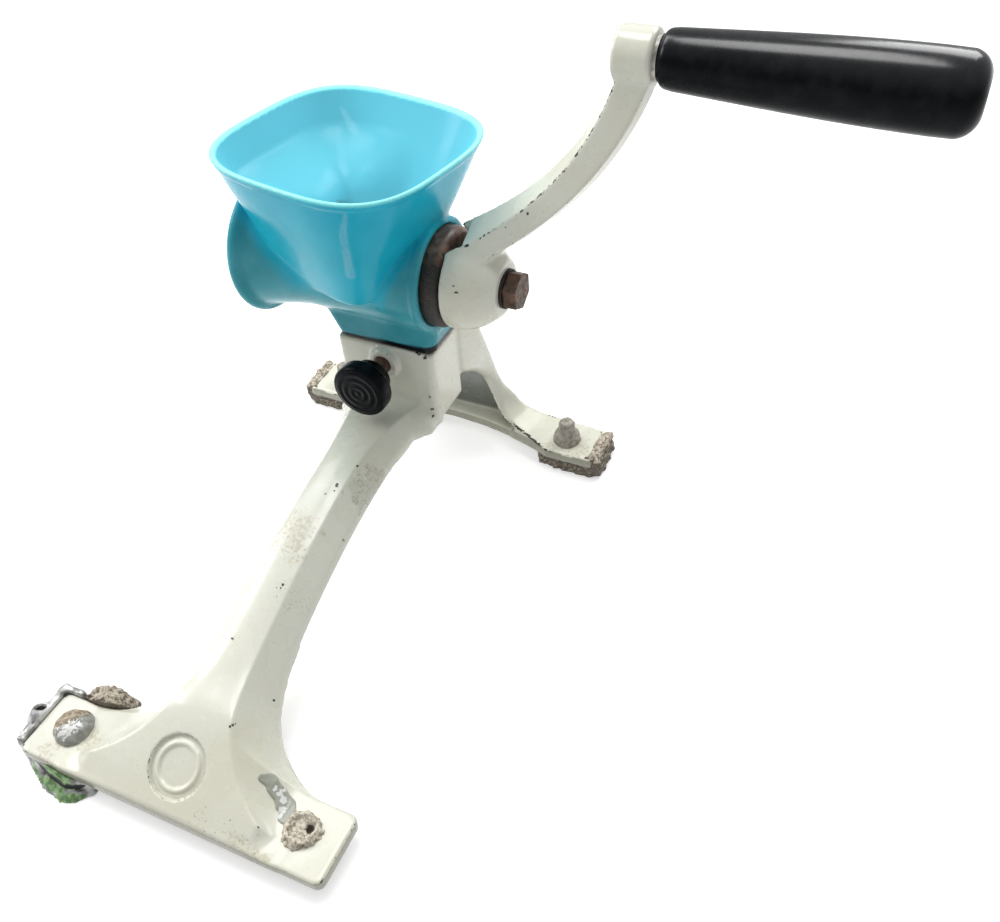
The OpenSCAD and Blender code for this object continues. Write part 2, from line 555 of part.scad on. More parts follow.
// Grip: it turns on a pin that is riveted into the boss
pin_r = 3.5;
grip_x0 = boss_x1 + 1.8;
grip_x1 = grip_x0 + grip_l;
grip_r0 = 10.6;
end_t = 1.2;
module at_grip(x = 0) in_crank() translate([x, 0, crank_r]) rotate([0, 90, 0]) children();
module grip_pin() on_foot() color(steel) {
    at_grip(boss_x0 - 0.8) cylinder(h = 0.8, r = pin_r + 1.5);
    at_grip(boss_x0) cylinder(h = grip_x1 - boss_x0 - 2, r = pin_r);
    at_grip(grip_x1 - 2) cylinder(h = 1.6, r = pin_r + 1.6);
}
module grip_washer() on_foot() color(steel) at_grip(boss_x1) difference() {
    cylinder(h = 1.4, r = 8.2);
    translate([0, 0, -1]) cylinder(h = 4, r = pin_r);
}
grip_max = 0.86;
module grip() on_foot() color(black) at_grip(grip_x0) difference() {
    rotate_extrude() polygon(concat([[0, 0]], arc(3, grip_r0 - 3.4, 3.4, 180, 90, 5),
        [[between(grip_r0, grip_r, 0.36), grip_l * 0.3], [between(grip_r0, grip_r, 0.8), grip_l * 0.62],
            [grip_r, grip_l * grip_max]], arc(grip_l - 8, grip_r - 8.4, 8, 76, 0, 8), [[0, grip_l]]));
    translate([0, 0, -1]) cylinder(h = grip_l + 2, r = pin_r + run_gap);
    translate([0, 0, grip_l - 2 - end_t - 0.3]) cylinder(h = 9, r = pin_r + 2.5);
}
module grip_end_washer() on_foot() color(steel) at_grip(grip_x1 - 2 - end_t) difference() {
    cylinder(h = end_t, r = pin_r + 2.2);
    translate([0, 0, -1]) cylinder(h = 4, r = pin_r);
}

stand();
front_bolt();
rear_bolts();
foot_nuts();
front_left_pad();
front_right_pad();
rear_pads();
putty_plug();
housing();
spindle_bush();
bearing_ring();
clamp_shoe();
thumb_screw();
thumb_knob();
spindle();
drum_shell();
drum_end_plate();
slicing_blades();
blade_rivets();
drum_nut();
crank_arm();
crank_washer();
crank_bolt();
grip_pin();
grip_washer();
grip();
grip_end_washer();
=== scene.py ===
"""Looks of an old hand-cranked bean slicer: cast stand, plastic body, crank and grip, built round the CAD frame."""
import functools
import math

import bpy
import numpy as np
from mathutils import Matrix, Vector


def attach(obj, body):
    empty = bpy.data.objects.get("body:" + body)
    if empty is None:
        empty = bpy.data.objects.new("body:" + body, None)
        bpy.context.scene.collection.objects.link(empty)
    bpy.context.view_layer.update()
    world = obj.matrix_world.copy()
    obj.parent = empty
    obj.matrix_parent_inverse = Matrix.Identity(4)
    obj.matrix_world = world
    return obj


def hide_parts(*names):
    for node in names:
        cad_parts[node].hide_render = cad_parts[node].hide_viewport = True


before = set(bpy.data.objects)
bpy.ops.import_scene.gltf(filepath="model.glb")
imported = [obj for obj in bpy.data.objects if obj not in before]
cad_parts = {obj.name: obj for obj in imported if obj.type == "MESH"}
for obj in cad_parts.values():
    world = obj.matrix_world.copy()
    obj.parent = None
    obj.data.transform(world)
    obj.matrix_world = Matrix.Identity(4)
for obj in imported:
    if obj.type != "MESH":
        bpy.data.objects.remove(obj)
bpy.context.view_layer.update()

# Shapes are worked out in millimetres about the stand's middle plane, then moved to the CAD's origin
MM = 0.001
TO_ROW = np.array([58.0, -17.0, 0.0])

# Sizes that repeat the part's source
PAD_H = 7.0
BAR_T = 6.0
BAR_TOP = PAD_H + BAR_T
HEAD_Y, HEAD_D, HEAD_W = 205.4, 27.6, 51.0
HEAD_BACK = HEAD_Y + HEAD_D
HEAD_LOW, HEAD_TOP = 58.0, 98.5
AXIS_Y, AXIS_Z = HEAD_Y + HEAD_D / 2, 135.6
SCREW_Z = 89.5
CRANK_R = 101.6
CRANK_TILT = math.radians(9.9)
FOOT_BOLT_X, FOOT_BOLT_Y = 58.0, 17.0
REAR_BOLT_X, REAR_BOLT_Y = 69.5, 263.0


def new_mesh(name, points, faces, smooth=True):
    """Mesh object from an array of points in stand millimetres and an array of faces."""
    mesh = bpy.data.meshes.new(name)
    mesh.from_pydata(((points + TO_ROW) * MM).tolist(), [], faces.tolist())
    mesh.polygons.foreach_set("use_smooth", np.full(len(mesh.polygons), smooth))
    mesh.update()
    piece = bpy.data.objects.new(name, mesh)
    bpy.context.scene.collection.objects.link(piece)
    return piece


def point_values(piece, name, values):
    """Stores one number for each point of a piece, for its material to read."""
    attribute = piece.data.attributes.new(name, "FLOAT", "POINT")
    attribute.data.foreach_set("value", values.astype(np.float32))


# Fields: signed distances in millimetres, below zero inside the metal
def soft_min(a, b, k):
    """Lower of two distances, rounded into each other over a width k: a fillet of about that size."""
    h = np.clip(0.5 + 0.5 * (b - a) / k, 0, 1)
    return b + (a - b) * h - k * h * (1 - h)


def soft_max(a, b, k):
    """Higher of two distances, rounded over a width k: an edge eased by about that size."""
    return -soft_min(-a, -b, k)


def step(a, b, v):
    """Smooth ramp from 0 at a to 1 at b."""
    t = np.clip((v - a) / (b - a), 0, 1)
    return t * t * (3 - 2 * t)


def block(x, y, z, low, high, r):
    """Distance to a box between two corners with its edges rounded to radius r."""
    q = [np.abs(v - (a + b) / 2) - (b - a) / 2 + r for v, a, b in zip((x, y, z), low, high)]
    out = np.sqrt(sum(np.maximum(v, 0) ** 2 for v in q))
    return out + np.minimum(np.maximum(np.maximum(q[0], q[1]), q[2]), 0) - r


def rod(u, v, w, r, low, high, ease):
    """Distance to a cylinder of radius r along w, from low to high, its rims rounded to ease."""
    a = np.sqrt(u * u + v * v) - r + ease
    b = np.abs(w - (low + high) / 2) - (high - low) / 2 + ease
    return np.sqrt(np.maximum(a, 0) ** 2 + np.maximum(b, 0) ** 2) + np.minimum(np.maximum(a, b), 0) - ease


def skin(name, field, xs, ys, zs, smooth=True, marks=None):
    """Surface where a field is zero. Each grid cell that the surface crosses gets one point, the mean of the
    crossings on its edges; each crossed grid edge gets one face through its four cells. The points are then
    moved along the field's gradient onto zero. Marks are further values stored at the points, by name."""
    f = np.broadcast_to(field(xs[:, None, None], ys[None, :, None], zs[None, None, :]),
                        (len(xs), len(ys), len(zs)))
    inside = f < 0
    count = sum(inside[i:len(xs) - 1 + i, j:len(ys) - 1 + j, k:len(zs) - 1 + k].astype(np.int8)
                for i in (0, 1) for j in (0, 1) for k in (0, 1))
    cells = np.argwhere((count > 0) & (count < 8))
    number = np.full(count.shape, -1)
    number[tuple(cells.T)] = np.arange(len(cells))
    lines = (xs, ys, zs)
    total = np.zeros((len(cells), 3))
    weight = np.zeros(len(cells))
    for axis in range(3):
        others = [a for a in range(3) if a != axis]
        for p, q in ((0, 0), (0, 1), (1, 0), (1, 1)):
            start = cells.copy()
            start[:, others[0]] += p
            start[:, others[1]] += q
            end = start.copy()
            end[:, axis] += 1
            fa, fb = f[tuple(start.T)], f[tuple(end.T)]
            cross = (fa < 0) != (fb < 0)
            t = np.where(cross, fa / np.where(cross, fa - fb, 1), 0)
            at = np.stack([lines[a][start[:, a]] for a in range(3)], axis=1)
            at[:, axis] += t * (lines[axis][end[:, axis]] - lines[axis][start[:, axis]])
            total[cross] += at[cross]
            weight += cross
    points = total / weight[:, None]
    faces = []
    for axis in range(3):
        u, v = [a for a in range(3) if a != axis]
        low = [slice(1, -1)] * 3
        high = [slice(1, -1)] * 3
        low[axis], high[axis] = slice(0, -1), slice(1, None)
        here, there = inside[tuple(low)], inside[tuple(high)]
        edges = np.argwhere(here != there)
        out = here[tuple(edges.T)]
        edges[:, u] += 1
        edges[:, v] += 1
        ring = []
        for du, dv in ((0, 0), (-1, 0), (-1, -1), (0, -1)):
            cell = edges.copy()
            cell[:, u] += du
            cell[:, v] += dv
            ring.append(number[tuple(cell.T)])
        quad = np.stack(ring, axis=1)
        flip = out if axis == 1 else ~out
        quad[flip] = quad[flip][:, ::-1]
        faces.append(quad)
    faces = np.concatenate(faces)
    cell_size = min(np.diff(xs).min(), np.diff(ys).min(), np.diff(zs).min())
    small = 0.08 * cell_size
    for _ in range(3):
        value, slope = value_and_slope(field, points, small)
        length = np.sum(slope * slope, axis=1)
        move = -value[:, None] * slope / np.maximum(length, 0.05)[:, None]
        far = np.linalg.norm(move, axis=1, keepdims=True)
        points = points + move * np.minimum(1, 0.5 * cell_size / np.maximum(far, 1e-6))
    piece = new_mesh(name, points, faces, smooth)
    point_values(piece, "edge", sharpness(field, points))
    point_values(piece, "up", slope[:, 2] / np.maximum(np.linalg.norm(slope, axis=1), 1e-6))
    for key, mark in (marks or {}).items():
        point_values(piece, key, mark(*points.T))
    return piece


def value_and_slope(field, points, small):
    """Field at each point, and its gradient from differences over a small step along each axis."""
    x, y, z = points.T
    slope = np.stack([field(x + small, y, z) - field(x - small, y, z),
                      field(x, y + small, z) - field(x, y - small, z),
                      field(x, y, z + small) - field(x, y, z - small)], axis=1) / (2 * small)
    return field(x, y, z), slope


def sharpness(field, points, reach=0.9):
    """How convex the surface is: the mean of the field a short way off along each axis, above its own value."""
    x, y, z = points.T
    around = sum(field(x + a * reach, y + b * reach, z + c * reach)
                 for a, b, c in ((1, 0, 0), (-1, 0, 0), (0, 1, 0), (0, -1, 0), (0, 0, 1), (0, 0, -1)))
    return np.clip((around / 6 - field(x, y, z)) / reach, -1, 1)


def turned(name, profile, centre, axis, steps=96, wobble=None):
    """Surface of revolution: a closed outline of (along, out) pairs carried round an axis through centre."""
    profile = np.asarray(profile, float)
    axis = np.asarray(axis, float)
    axis /= np.linalg.norm(axis)
    side = np.cross(axis, (0.0, 0.0, 1.0) if abs(axis[2]) < 0.9 else (0.0, 1.0, 0.0))
    side /= np.linalg.norm(side)
    up = np.cross(axis, side)
    angle = np.linspace(0, 2 * np.pi, steps, endpoint=False)
    along, out = profile[:, 0][:, None], profile[:, 1][:, None] + 0 * angle
    if wobble is not None:
        out = out + wobble(along, angle) * (out > 1e-6)
    grid = (np.asarray(centre)[None, None] + (along + 0 * angle)[..., None] * axis
            + out[..., None] * (np.cos(angle)[None, :, None] * side + np.sin(angle)[None, :, None] * up))
    return closed_grid(name, grid)


def closed_grid(name, grid, around=True, along=False):
    """Mesh over a grid of points [rows, columns, 3] whose columns close on themselves; the rows may close too.
    Points that fall together, such as a pole's, are merged."""
    rows, cols = grid.shape[:2]
    i, j = np.meshgrid(np.arange(rows if along else rows - 1), np.arange(cols if around else cols - 1), indexing="ij")
    i2, j2 = (i + 1) % rows, (j + 1) % cols
    faces = np.stack([i * cols + j, i * cols + j2, i2 * cols + j2, i2 * cols + j], axis=-1).reshape(-1, 4)
    points = grid.reshape(-1, 3)
    _, first, back = np.unique(np.round(points, 5), axis=0, return_index=True, return_inverse=True)
    faces = back.reshape(-1)[np.concatenate([faces[:, [0, 1, 2]], faces[:, [0, 2, 3]]])]
    whole = (faces[:, 0] != faces[:, 1]) & (faces[:, 1] != faces[:, 2]) & (faces[:, 2] != faces[:, 0])
    piece = new_mesh(name, points[first], faces[whole])
    face_outwards(piece)
    return piece


def face_outwards(piece):
    """Turns a closed mesh so that its volume is above zero."""
    mesh = piece.data
    mesh.calc_loop_triangles()
    corners = np.empty(len(mesh.loop_triangles) * 3, dtype=np.int64)
    mesh.loop_triangles.foreach_get("vertices", corners)
    points = np.empty(len(mesh.vertices) * 3)
    mesh.vertices.foreach_get("co", points)
    a, b, c = points.reshape(-1, 3)[corners.reshape(-1, 3)].transpose(1, 0, 2)
    if np.sum(a * np.cross(b, c)) < 0:
        mesh.flip_normals()


def arc(cx, cy, r, a0, a1, n=8):
    """Points on an arc round (cx, cy), with angles in degrees from the first axis."""
    a = np.radians(np.linspace(a0, a1, n))
    return np.stack([cx + r * np.cos(a), cy + r * np.sin(a)], axis=1).tolist()


# Stand
def leg_edge(y):
    """Height of the front leg's edge: level over the foot, then a quarter of a sine up to the head."""
    return BAR_TOP - 1 + 48.5 * np.sin(np.radians(90 * np.clip(y - 34, 0, 156) / 156))


def leg_half(y):
    """Half the leg's width: a constant, a flare that dies away from the foot, and a quick one into the head."""
    swell = 1.8 * (np.maximum(0, y - 145) / 45) ** 2 + 0.66 * np.maximum(0, y - 191)
    return np.minimum(25.9, 18.3 + swell) + np.minimum(35.7, 34 * np.exp(-(y - 31) / 13))


def leg_ridge(y):
    """Height of the leg's ridge: a slope up from the foot, held down softly to a little above the edge."""
    rise = leg_edge(y) + 9 + 14 * np.exp(-(y - 36) / 24)
    slope = BAR_TOP + 0.6 * y
    return (slope + rise - np.sqrt((slope - rise) ** 2 + 9)) / 2


def leg_ridge_half(y):
    """Half the width of the ridge: narrow on the leg, flaring over the foot and a little at the head."""
    return np.minimum(42, 8.5 + 7 * np.exp(-(y - 36) / 17)) + 9 * (np.maximum(0, y - 150) / 55) ** 2


def leg_top(x, y):
    """Top of the leg: a lightly crowned ridge, and flanks that fall from it to the edge."""
    r, w, e, z = leg_ridge_half(y), leg_half(y), leg_edge(y), leg_ridge(y)
    power = 1 + 0.7 * np.exp(-((y - 10) / 30) ** 2)
    across = np.clip((w - np.abs(x)) / (w - r), 0, 1)
    flank = e + (z - e) * across ** power
    crown = z + 1.2 * (1 - np.minimum(1, (x / r) ** 2))
    return np.where(np.abs(x) < r, crown, flank)


def leg_field(x, y, z):
    """Front leg: between its top and its underside, within its width, from the foot to inside the head."""
    top = leg_top(x, y)
    steep = 0.80
    under = np.where(y < 31.5, BAR_TOP - 4.0, top - 5.0)
    plate = soft_max((z - top) * steep, (under - z) * steep, 2.2)
    sides = (np.abs(x) - leg_half(y)) * 0.93
    ends = np.maximum(0.6 - y, y - (HEAD_Y + 3))
    return soft_max(soft_max(plate, sides, 2.2), ends, 0.8)


def rear_half(z):
    """Half the rear leg's width: narrow at the top, flaring quickly into the rear bar."""
    up = np.maximum(z, 11.8)
    return np.minimum(86, 26.2 + 112 / (up - PAD_H - 3) * np.exp(-((up - BAR_TOP) / 22) ** 2))


def rear_front(z):
    """Front edge of the rear leg's flanks: an arch that curves from under the head back and down to the bar."""
    high = 264.4 - 32 * (np.clip(z - 30, 0, 39.6) / 39.6) ** 2.05
    low = 264.4 - 13.4 * (np.clip(30 - z, 0, 17) / 17) ** 2.2
    return np.where(z > 30, high, np.maximum(low, 251.0))


def rear_back(z):
    return 277 - 25 * (np.clip(z - BAR_TOP, 0, 200) / 70) ** 1.2


def rear_spread(z):
    """How much wider the rear leg is at its back than at its front edge, on each side."""
    return 3.3 * np.clip((z - BAR_TOP) / 4, 0, 1) + 2.8 * np.exp(-((z - 27) / 6) ** 2)


def rear_set(x):
    """Front edge of the rear bar, set back in the middle."""
    return 251 + 12 * np.maximum(np.cos(np.radians(90 * np.clip(x / 62, -1, 1))), 0) ** 0.8


def rear_hollow(x, y, z):
    """Hollow between the rear leg's flanks, open to the front and below."""
    hollow = soft_max(np.abs(x) - np.minimum(rear_half(z), 44) + 4.5, y - rear_back(z) + 4.5, 3)
    return soft_max(hollow, z - 70, 3)


def in_rear_hollow(x, y, z):
    """1 on the walls of the rear leg's hollow, where the enamel is darkened with painted shade, and 0 elsewhere."""
    return step(1.2, 0.4, rear_hollow(x, y, z)) * (y > rear_front(z) + 0.8) * (z > BAR_TOP + 0.5)


def rear_leg_field(x, y, z):
    """Rear leg: a back wall and two flanks round its hollow."""
    slope = 0.92
    front, back = rear_front(z), rear_back(z)
    wide = rear_half(z) + rear_spread(z) * np.clip((y - front) / (back - front), 0, 1)
    solid = soft_max(soft_max((np.abs(x) - wide) * slope, (front - y) * slope, 1.2), (y - back) * 0.95, 3.0)
    solid = soft_max(solid, (rear_set(x) - y) * 0.9 - 1.5 * np.maximum(z - 18, 0), 1.0)
    solid = soft_max(soft_max(solid, BAR_TOP - 4 - z, 0.5), z - HEAD_TOP, 1.3)
    return soft_max(solid, -rear_hollow(x, y, z), 1.0)


def rear_bar_field(x, y, z):
    """Rear foot bar: a rounded plate whose front edge is set back in the middle."""
    plate = block(x, y, z, (-89, 251, PAD_H), (89, 277, BAR_TOP), 1.0)
    corner = rod(np.maximum(np.abs(x) - 85, 0), np.maximum(np.abs(y - 264) - 9, 0), z, 4.0, PAD_H, BAR_TOP, 1.0)
    return soft_max(soft_max(plate, corner, 0.6), (rear_set(x) - y) * 0.95, 1.2)


def stand_field(x, y, z):
    """The whole casting: bars, legs and head melted into each other with fillets, then its holes."""
    bar = block(x, y, z, (-75, 0, PAD_H), (75, 30.3, BAR_TOP), 0.9)
    bar = soft_max(bar, rod(np.maximum(np.abs(x) - 71, 0), np.maximum(np.abs(y - 15.15) - 11.15, 0), z,
                            4.0, PAD_H, BAR_TOP, 0.9), 0.4)
    f = soft_min(bar, leg_field(x, y, z), 2.4)
    head = block(x, y, z, (-HEAD_W / 2, HEAD_Y, HEAD_LOW), (HEAD_W / 2, HEAD_BACK, HEAD_TOP), 1.3)
    head = soft_max(head, rod(np.maximum(np.abs(x) - 22.5, 0), np.maximum(np.abs(y - AXIS_Y) - 10.8, 0), z,
                              3.0, HEAD_LOW, HEAD_TOP, 1.3), 0.3)
    f = soft_min(f, head, 3.0)
    f = soft_min(f, soft_min(rear_leg_field(x, y, z), rear_bar_field(x, y, z), 3.0), 2.5)
    boss = rod(x, z - SCREW_Z, y, 8.0, HEAD_Y - 3, HEAD_Y + 4, 0.8)
    f = soft_min(f, boss, 1.5)
    socket = block(x, y, z, (-21.4, 208.8, 74), (21.4, 229.8, 110), 2.5)
    f = soft_max(f, -socket, 0.6)
    f = soft_max(f, -block(x, y, z, (-21.5, 209.4, 40), (21.5, 229.0, 71), 3), 1.0)
    screw = rod(x, z - SCREW_Z, y, 4.0, 198, 212, 0.2)
    f = soft_max(f, -screw, 0.5)
    bolt_ways = np.minimum(np.hypot(np.abs(x) - FOOT_BOLT_X, y - FOOT_BOLT_Y),
                           np.hypot(np.abs(x) - REAR_BOLT_X, y - REAR_BOLT_Y)) - 3.4
    f = soft_max(f, -bolt_ways, 0.6)
    f = soft_max(f, -medallion_field(x, y, z), 0.35)
    up, out = medallion_frame(y, z)
    raised = np.hypot(np.hypot(x, up) - MEDALLION_R + 3.6, out + 1.6) - 1.1
    return soft_min(f, raised, 0.3)


MEDALLION_Y, MEDALLION_R = 15.8, 12.9
MEDALLION_Z = float(leg_ridge(np.float64(MEDALLION_Y))) + 1.2
MEDALLION_SLOPE = math.radians(31)


def medallion_frame(y, z):
    """Distance up the foot's slope and out from it, from the middle of the sunk disc."""
    up = (y - MEDALLION_Y) * math.cos(MEDALLION_SLOPE) + (z - MEDALLION_Z) * math.sin(MEDALLION_SLOPE)
    out = -(y - MEDALLION_Y) * math.sin(MEDALLION_SLOPE) + (z - MEDALLION_Z) * math.cos(MEDALLION_SLOPE)
    return up, out


def medallion_field(x, y, z):
    up, out = medallion_frame(y, z)
    return np.maximum(np.hypot(x, up) - MEDALLION_R, -1.5 - out)


def spaced(points):
    """Grid lines from (position, step) pairs: even steps from each position to the next."""
    runs = [np.arange(a, b, s) for (a, s), (b, _) in zip(points, points[1:])]
    return np.concatenate(runs + [[points[-1][0]]])


def spread(a, b, cell):
    return np.linspace(a, b, int(round((b - a) / cell)) + 1)


stand = skin("stand_casting", stand_field,
             spaced([(-92, 1.45), (-16, 0.65), (16, 1.45), (92, 1.45)]),
             spaced([(-3, 0.75), (31, 1.45), (281, 1.45)]),
             spaced([(4, 0.9), (31, 1.4), (102, 1.4)]), marks={"hollow": in_rear_hollow})
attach(stand, "stand")
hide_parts("stand")


# Body. The hopper's outline at its toe and at its rim: half widths, squareness, turn about the upright, middle
TOE_Z, RIM_Z = 134.0, 192.8
TOE = (29.0, 23.4, 4.6, math.radians(-18.9), -15.4, AXIS_Y - 4.1)
MOUTH = (53.2, 47.3, 3.2, math.radians(-10.2), -11.8, AXIS_Y + 1.8)
WALL = 2.8


def hopper_distance(x, y, z):
    """Distance out from the hopper's wall. Its level outline is a superellipse, |u/a|^n + |v/b|^n = 1, whose
    half widths, squareness, turn and middle change evenly from the toe to the rim."""
    t = np.clip((z - TOE_Z) / (RIM_Z - TOE_Z), -0.2, 1.2)
    a, b, n, turn, mid_x, mid_y = (low + (high - low) * t for low, high in zip(TOE, MOUTH))
    c, s = np.cos(turn), np.sin(turn)
    u = np.abs(c * (x - mid_x) + s * (y - mid_y)) / a
    v = np.abs(c * (y - mid_y) - s * (x - mid_x)) / b
    size = (u ** n + v ** n + 1e-9) ** (1 / n)
    steep = np.hypot((u / size) ** (n - 1) / a, (v / size) ** (n - 1) / b)
    return (size - 1) / (1.08 * steep)


def barrel_out(x):
    """Radius of the barrel's skin, which flares towards the flange."""
    return 25.4 + 4.4 * (1 - np.clip((x + 58) / 26, 0, 1)) ** 1.5


def housing_field(x, y, z):
    """Hopper, barrel and neck of the plastic body, joined with small fillets, then the hollow inside."""
    r = np.hypot(y - AXIS_Y, z - AXIS_Z)
    lip = 0.5 * step(RIM_Z - 4.2, RIM_Z - 3.2, z)
    away = hopper_distance(x, y, z)
    hopper = soft_max(away - lip, z - RIM_Z, 1.2)
    hopper = soft_max(hopper, TOE_Z - 2.0 - z, 2.2)
    barrel = soft_max(r - barrel_out(x), np.maximum(-63 - x, x - 28.8), 0.8)
    collar = soft_max(r - 26.0, np.abs(x - 26.8) - 1.6, 0.8)
    flange = np.hypot(np.maximum(r - 30.9, 0), x + 61.4) - 2.6
    root = soft_max(r - 31.0, np.abs(x + 61.4) - 2.6, 0.5)
    barrel = soft_min(barrel, soft_min(flange, root, 0.5), 3.0)
    barrel = soft_min(barrel, collar, 0.8)
    t = np.clip((z - 98.9) / 22.1, 0, 1.3)
    neck_half, neck_mid = 25.5 + 6.5 * t, 0.9 - 3.9 * t
    neck = block((x - neck_mid) * 25.5 / neck_half, y, z, (-25.5, HEAD_Y + 0.2, 99.1),
                 (25.5, HEAD_BACK - 0.2, 130), 1.0)
    neck_round = np.hypot(np.maximum(np.abs(x - neck_mid) - neck_half + 6, 0),
                          np.maximum(np.abs(y - AXIS_Y) - 7.6, 0)) - 6
    neck = soft_max(neck, neck_round, 0.8)
    outside = soft_min(soft_min(barrel, neck, 2.4), hopper, 1.4)
    spigot = block(x, y, z, (-21.1, 209.1, 74.5), (21.1, 229.5, 104), 2.2)
    shoe_way = block(x, y, z, (-8, 200, 70), (8, 214.8, SCREW_Z + 8), 0.4)
    outside = soft_min(outside, soft_max(spigot, -shoe_way, 0.5), 0.6)
    thinner = 0.8 * np.clip((z - 165) / (RIM_Z - 165), 0, 1) + 0.5 * step(RIM_Z - 1.2, RIM_Z, z)
    funnel = 26 * step(180, 159, z) * step(2, -36, x)
    inside = soft_max(away + WALL - thinner + funnel, TOE_Z + 3.5 - z, 2.0)
    inside = soft_max(inside, z - 200, 0.5)
    bore = np.maximum(r - (24.6 - 2.7 * np.clip((x + 63) / 81.5, 0, 1)), x - 18.5)
    bush_way = np.maximum(r - 7.2, np.maximum(17 - x, x - 40))
    ring_way = np.maximum(r - 22.6, np.maximum(23.5 - x, x - 40))
    mouth = np.maximum(r - (24.6 + 2.0 * step(-61.5, -64.5, x)), x + 60)
    hollow = soft_min(np.minimum(np.minimum(bore, mouth), np.minimum(bush_way, ring_way)), inside, 1.2)
    return soft_max(outside, -hollow, 0.9)


def in_hopper(x, y, z):
    """1 on the hopper's inner wall and 0 on its outer one."""
    return step(-0.6, -1.3, hopper_distance(x, y, z)) * step(138, 146, z)


def below_hopper(x, y, z):
    """1 on the barrel and the neck, 0 on the hopper, with a soft change between."""
    return np.maximum(step(0.5, 7, hopper_distance(x, y, z)), step(138, 124, z))


# 1 on the hopper's rim, where a highlight is painted.
def on_rim_highlight(x, y, z):
    return step(RIM_Z - 1.5, RIM_Z - 0.7, z)


def in_gap_shadow(x, y, z):
    """1 on the foot of the neck, where a painted shadow of the gap above the head darkens it, and 0 higher up; the
    painted shadow widens rightwards.
    """
    top = 100.9 + 2.2 * np.clip((x + 25) / 50, 0, 1)
    return step(top + 0.4, top - 0.4, z) * step(97.6, 98.4, z)


# Whitish streaks on the hopper, partly scuffs and partly painted highlight, as (start, end, reach at start, reach at
# end)
SMEARS_AND_HIGHLIGHTS = (((-41, 263, 184), (-27, 256.5, 168), 1.0, 3.6), ((-27, 256.5, 168), (-14, 247, 155), 3.6, 1.5),
          ((15, 174, 188), (11, 175.5, 178), 0.8, 1.6), ((11, 175.5, 178), (6, 182, 153), 1.6, 2.2))


def smears_and_highlights(x, y, z):
    """1 along the whitish streaks on the hopper's inner wall and its front corner, fading out beside them; they are
    partly scuffs and partly painted highlight.
    """
    out = 0
    for a, b, wide_a, wide_b in SMEARS_AND_HIGHLIGHTS:
        a, way = np.array(a), np.array(b) - a
        t = np.clip(((x - a[0]) * way[0] + (y - a[1]) * way[1] + (z - a[2]) * way[2]) / (way @ way), 0, 1)
        away = np.sqrt((x - a[0] - t * way[0]) ** 2 + (y - a[1] - t * way[1]) ** 2 + (z - a[2] - t * way[2]) ** 2)
        wide = wide_a + t * (wide_b - wide_a)
        out = np.maximum(out, step(wide * 1.3, wide * 0.6, away))
    return out


housing = skin("body_moulding", housing_field, spread(-69, 45, 0.95), spread(168, 275, 0.95), spread(72, 196, 0.95),
               marks={"inner": in_hopper, "below": below_hopper, "rim": on_rim_highlight, "gap": in_gap_shadow, "smear": smears_and_highlights})
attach(housing, "body")
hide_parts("housing")


# Crank
ARM_BENDS = np.array([[36.6, 14.6], [63.0, 29.4], [98.6, 54.0], [111.4, CRANK_R - 2]])
ARM_T = np.linspace(0, 1, 49)[:, None]
ARM_LINE = ((1 - ARM_T) ** 3 * ARM_BENDS[0] + 3 * (1 - ARM_T) ** 2 * ARM_T * ARM_BENDS[1]
            + 3 * (1 - ARM_T) * ARM_T ** 2 * ARM_BENDS[2] + ARM_T ** 3 * ARM_BENDS[3])
ARM_SPEED = np.gradient(ARM_LINE, ARM_T[:, 0], axis=0)


def beside_arm(x, z):
    """Where a point lies beside the arm's middle line, a Bezier curve: how far along it, from 0 to 1, how far to
    its right, and how far past either end."""
    off_x, off_z = x[..., None] - ARM_LINE[:, 0], z[..., None] - ARM_LINE[:, 1]
    near = np.argmin(off_x ** 2 + off_z ** 2, axis=-1)
    off_x, off_z = x - ARM_LINE[near, 0], z - ARM_LINE[near, 1]
    speed = np.hypot(*ARM_SPEED[near].transpose(-1, *range(near.ndim)))
    way_x, way_z = ARM_SPEED[near, 0] / speed, ARM_SPEED[near, 1] / speed
    along = off_x * way_x + off_z * way_z
    past = np.where(near == 0, -along, np.where(near == len(ARM_LINE) - 1, along, -99))
    return np.clip(ARM_T[near, 0] + along / speed, 0, 1), off_x * way_z - off_z * way_x, past


def hub_pocket(x, y, z):
    """Pocket in the hub's open end, behind its front wall, and the slope that the wall's top is cut to."""
    right = np.maximum(x - 43 - 1.5 * np.clip((z - 8) / 11.5, 0, 1), (x - 44.5) * 0.67 + (z - 19.5) * 0.74)
    right = np.where(z > 24.8, x - 38.7 + 0.11 * (z - 24.8), right)
    pocket = soft_max(np.maximum(right, 8 - z), np.maximum(-10.5 - y, y - 9.5), 0.6)
    slope = soft_max((16.1 + 0.63 * (x - 36.2) - z) * 0.85, np.maximum(x - 43.2, y), 0.6)
    return np.minimum(pocket, slope)


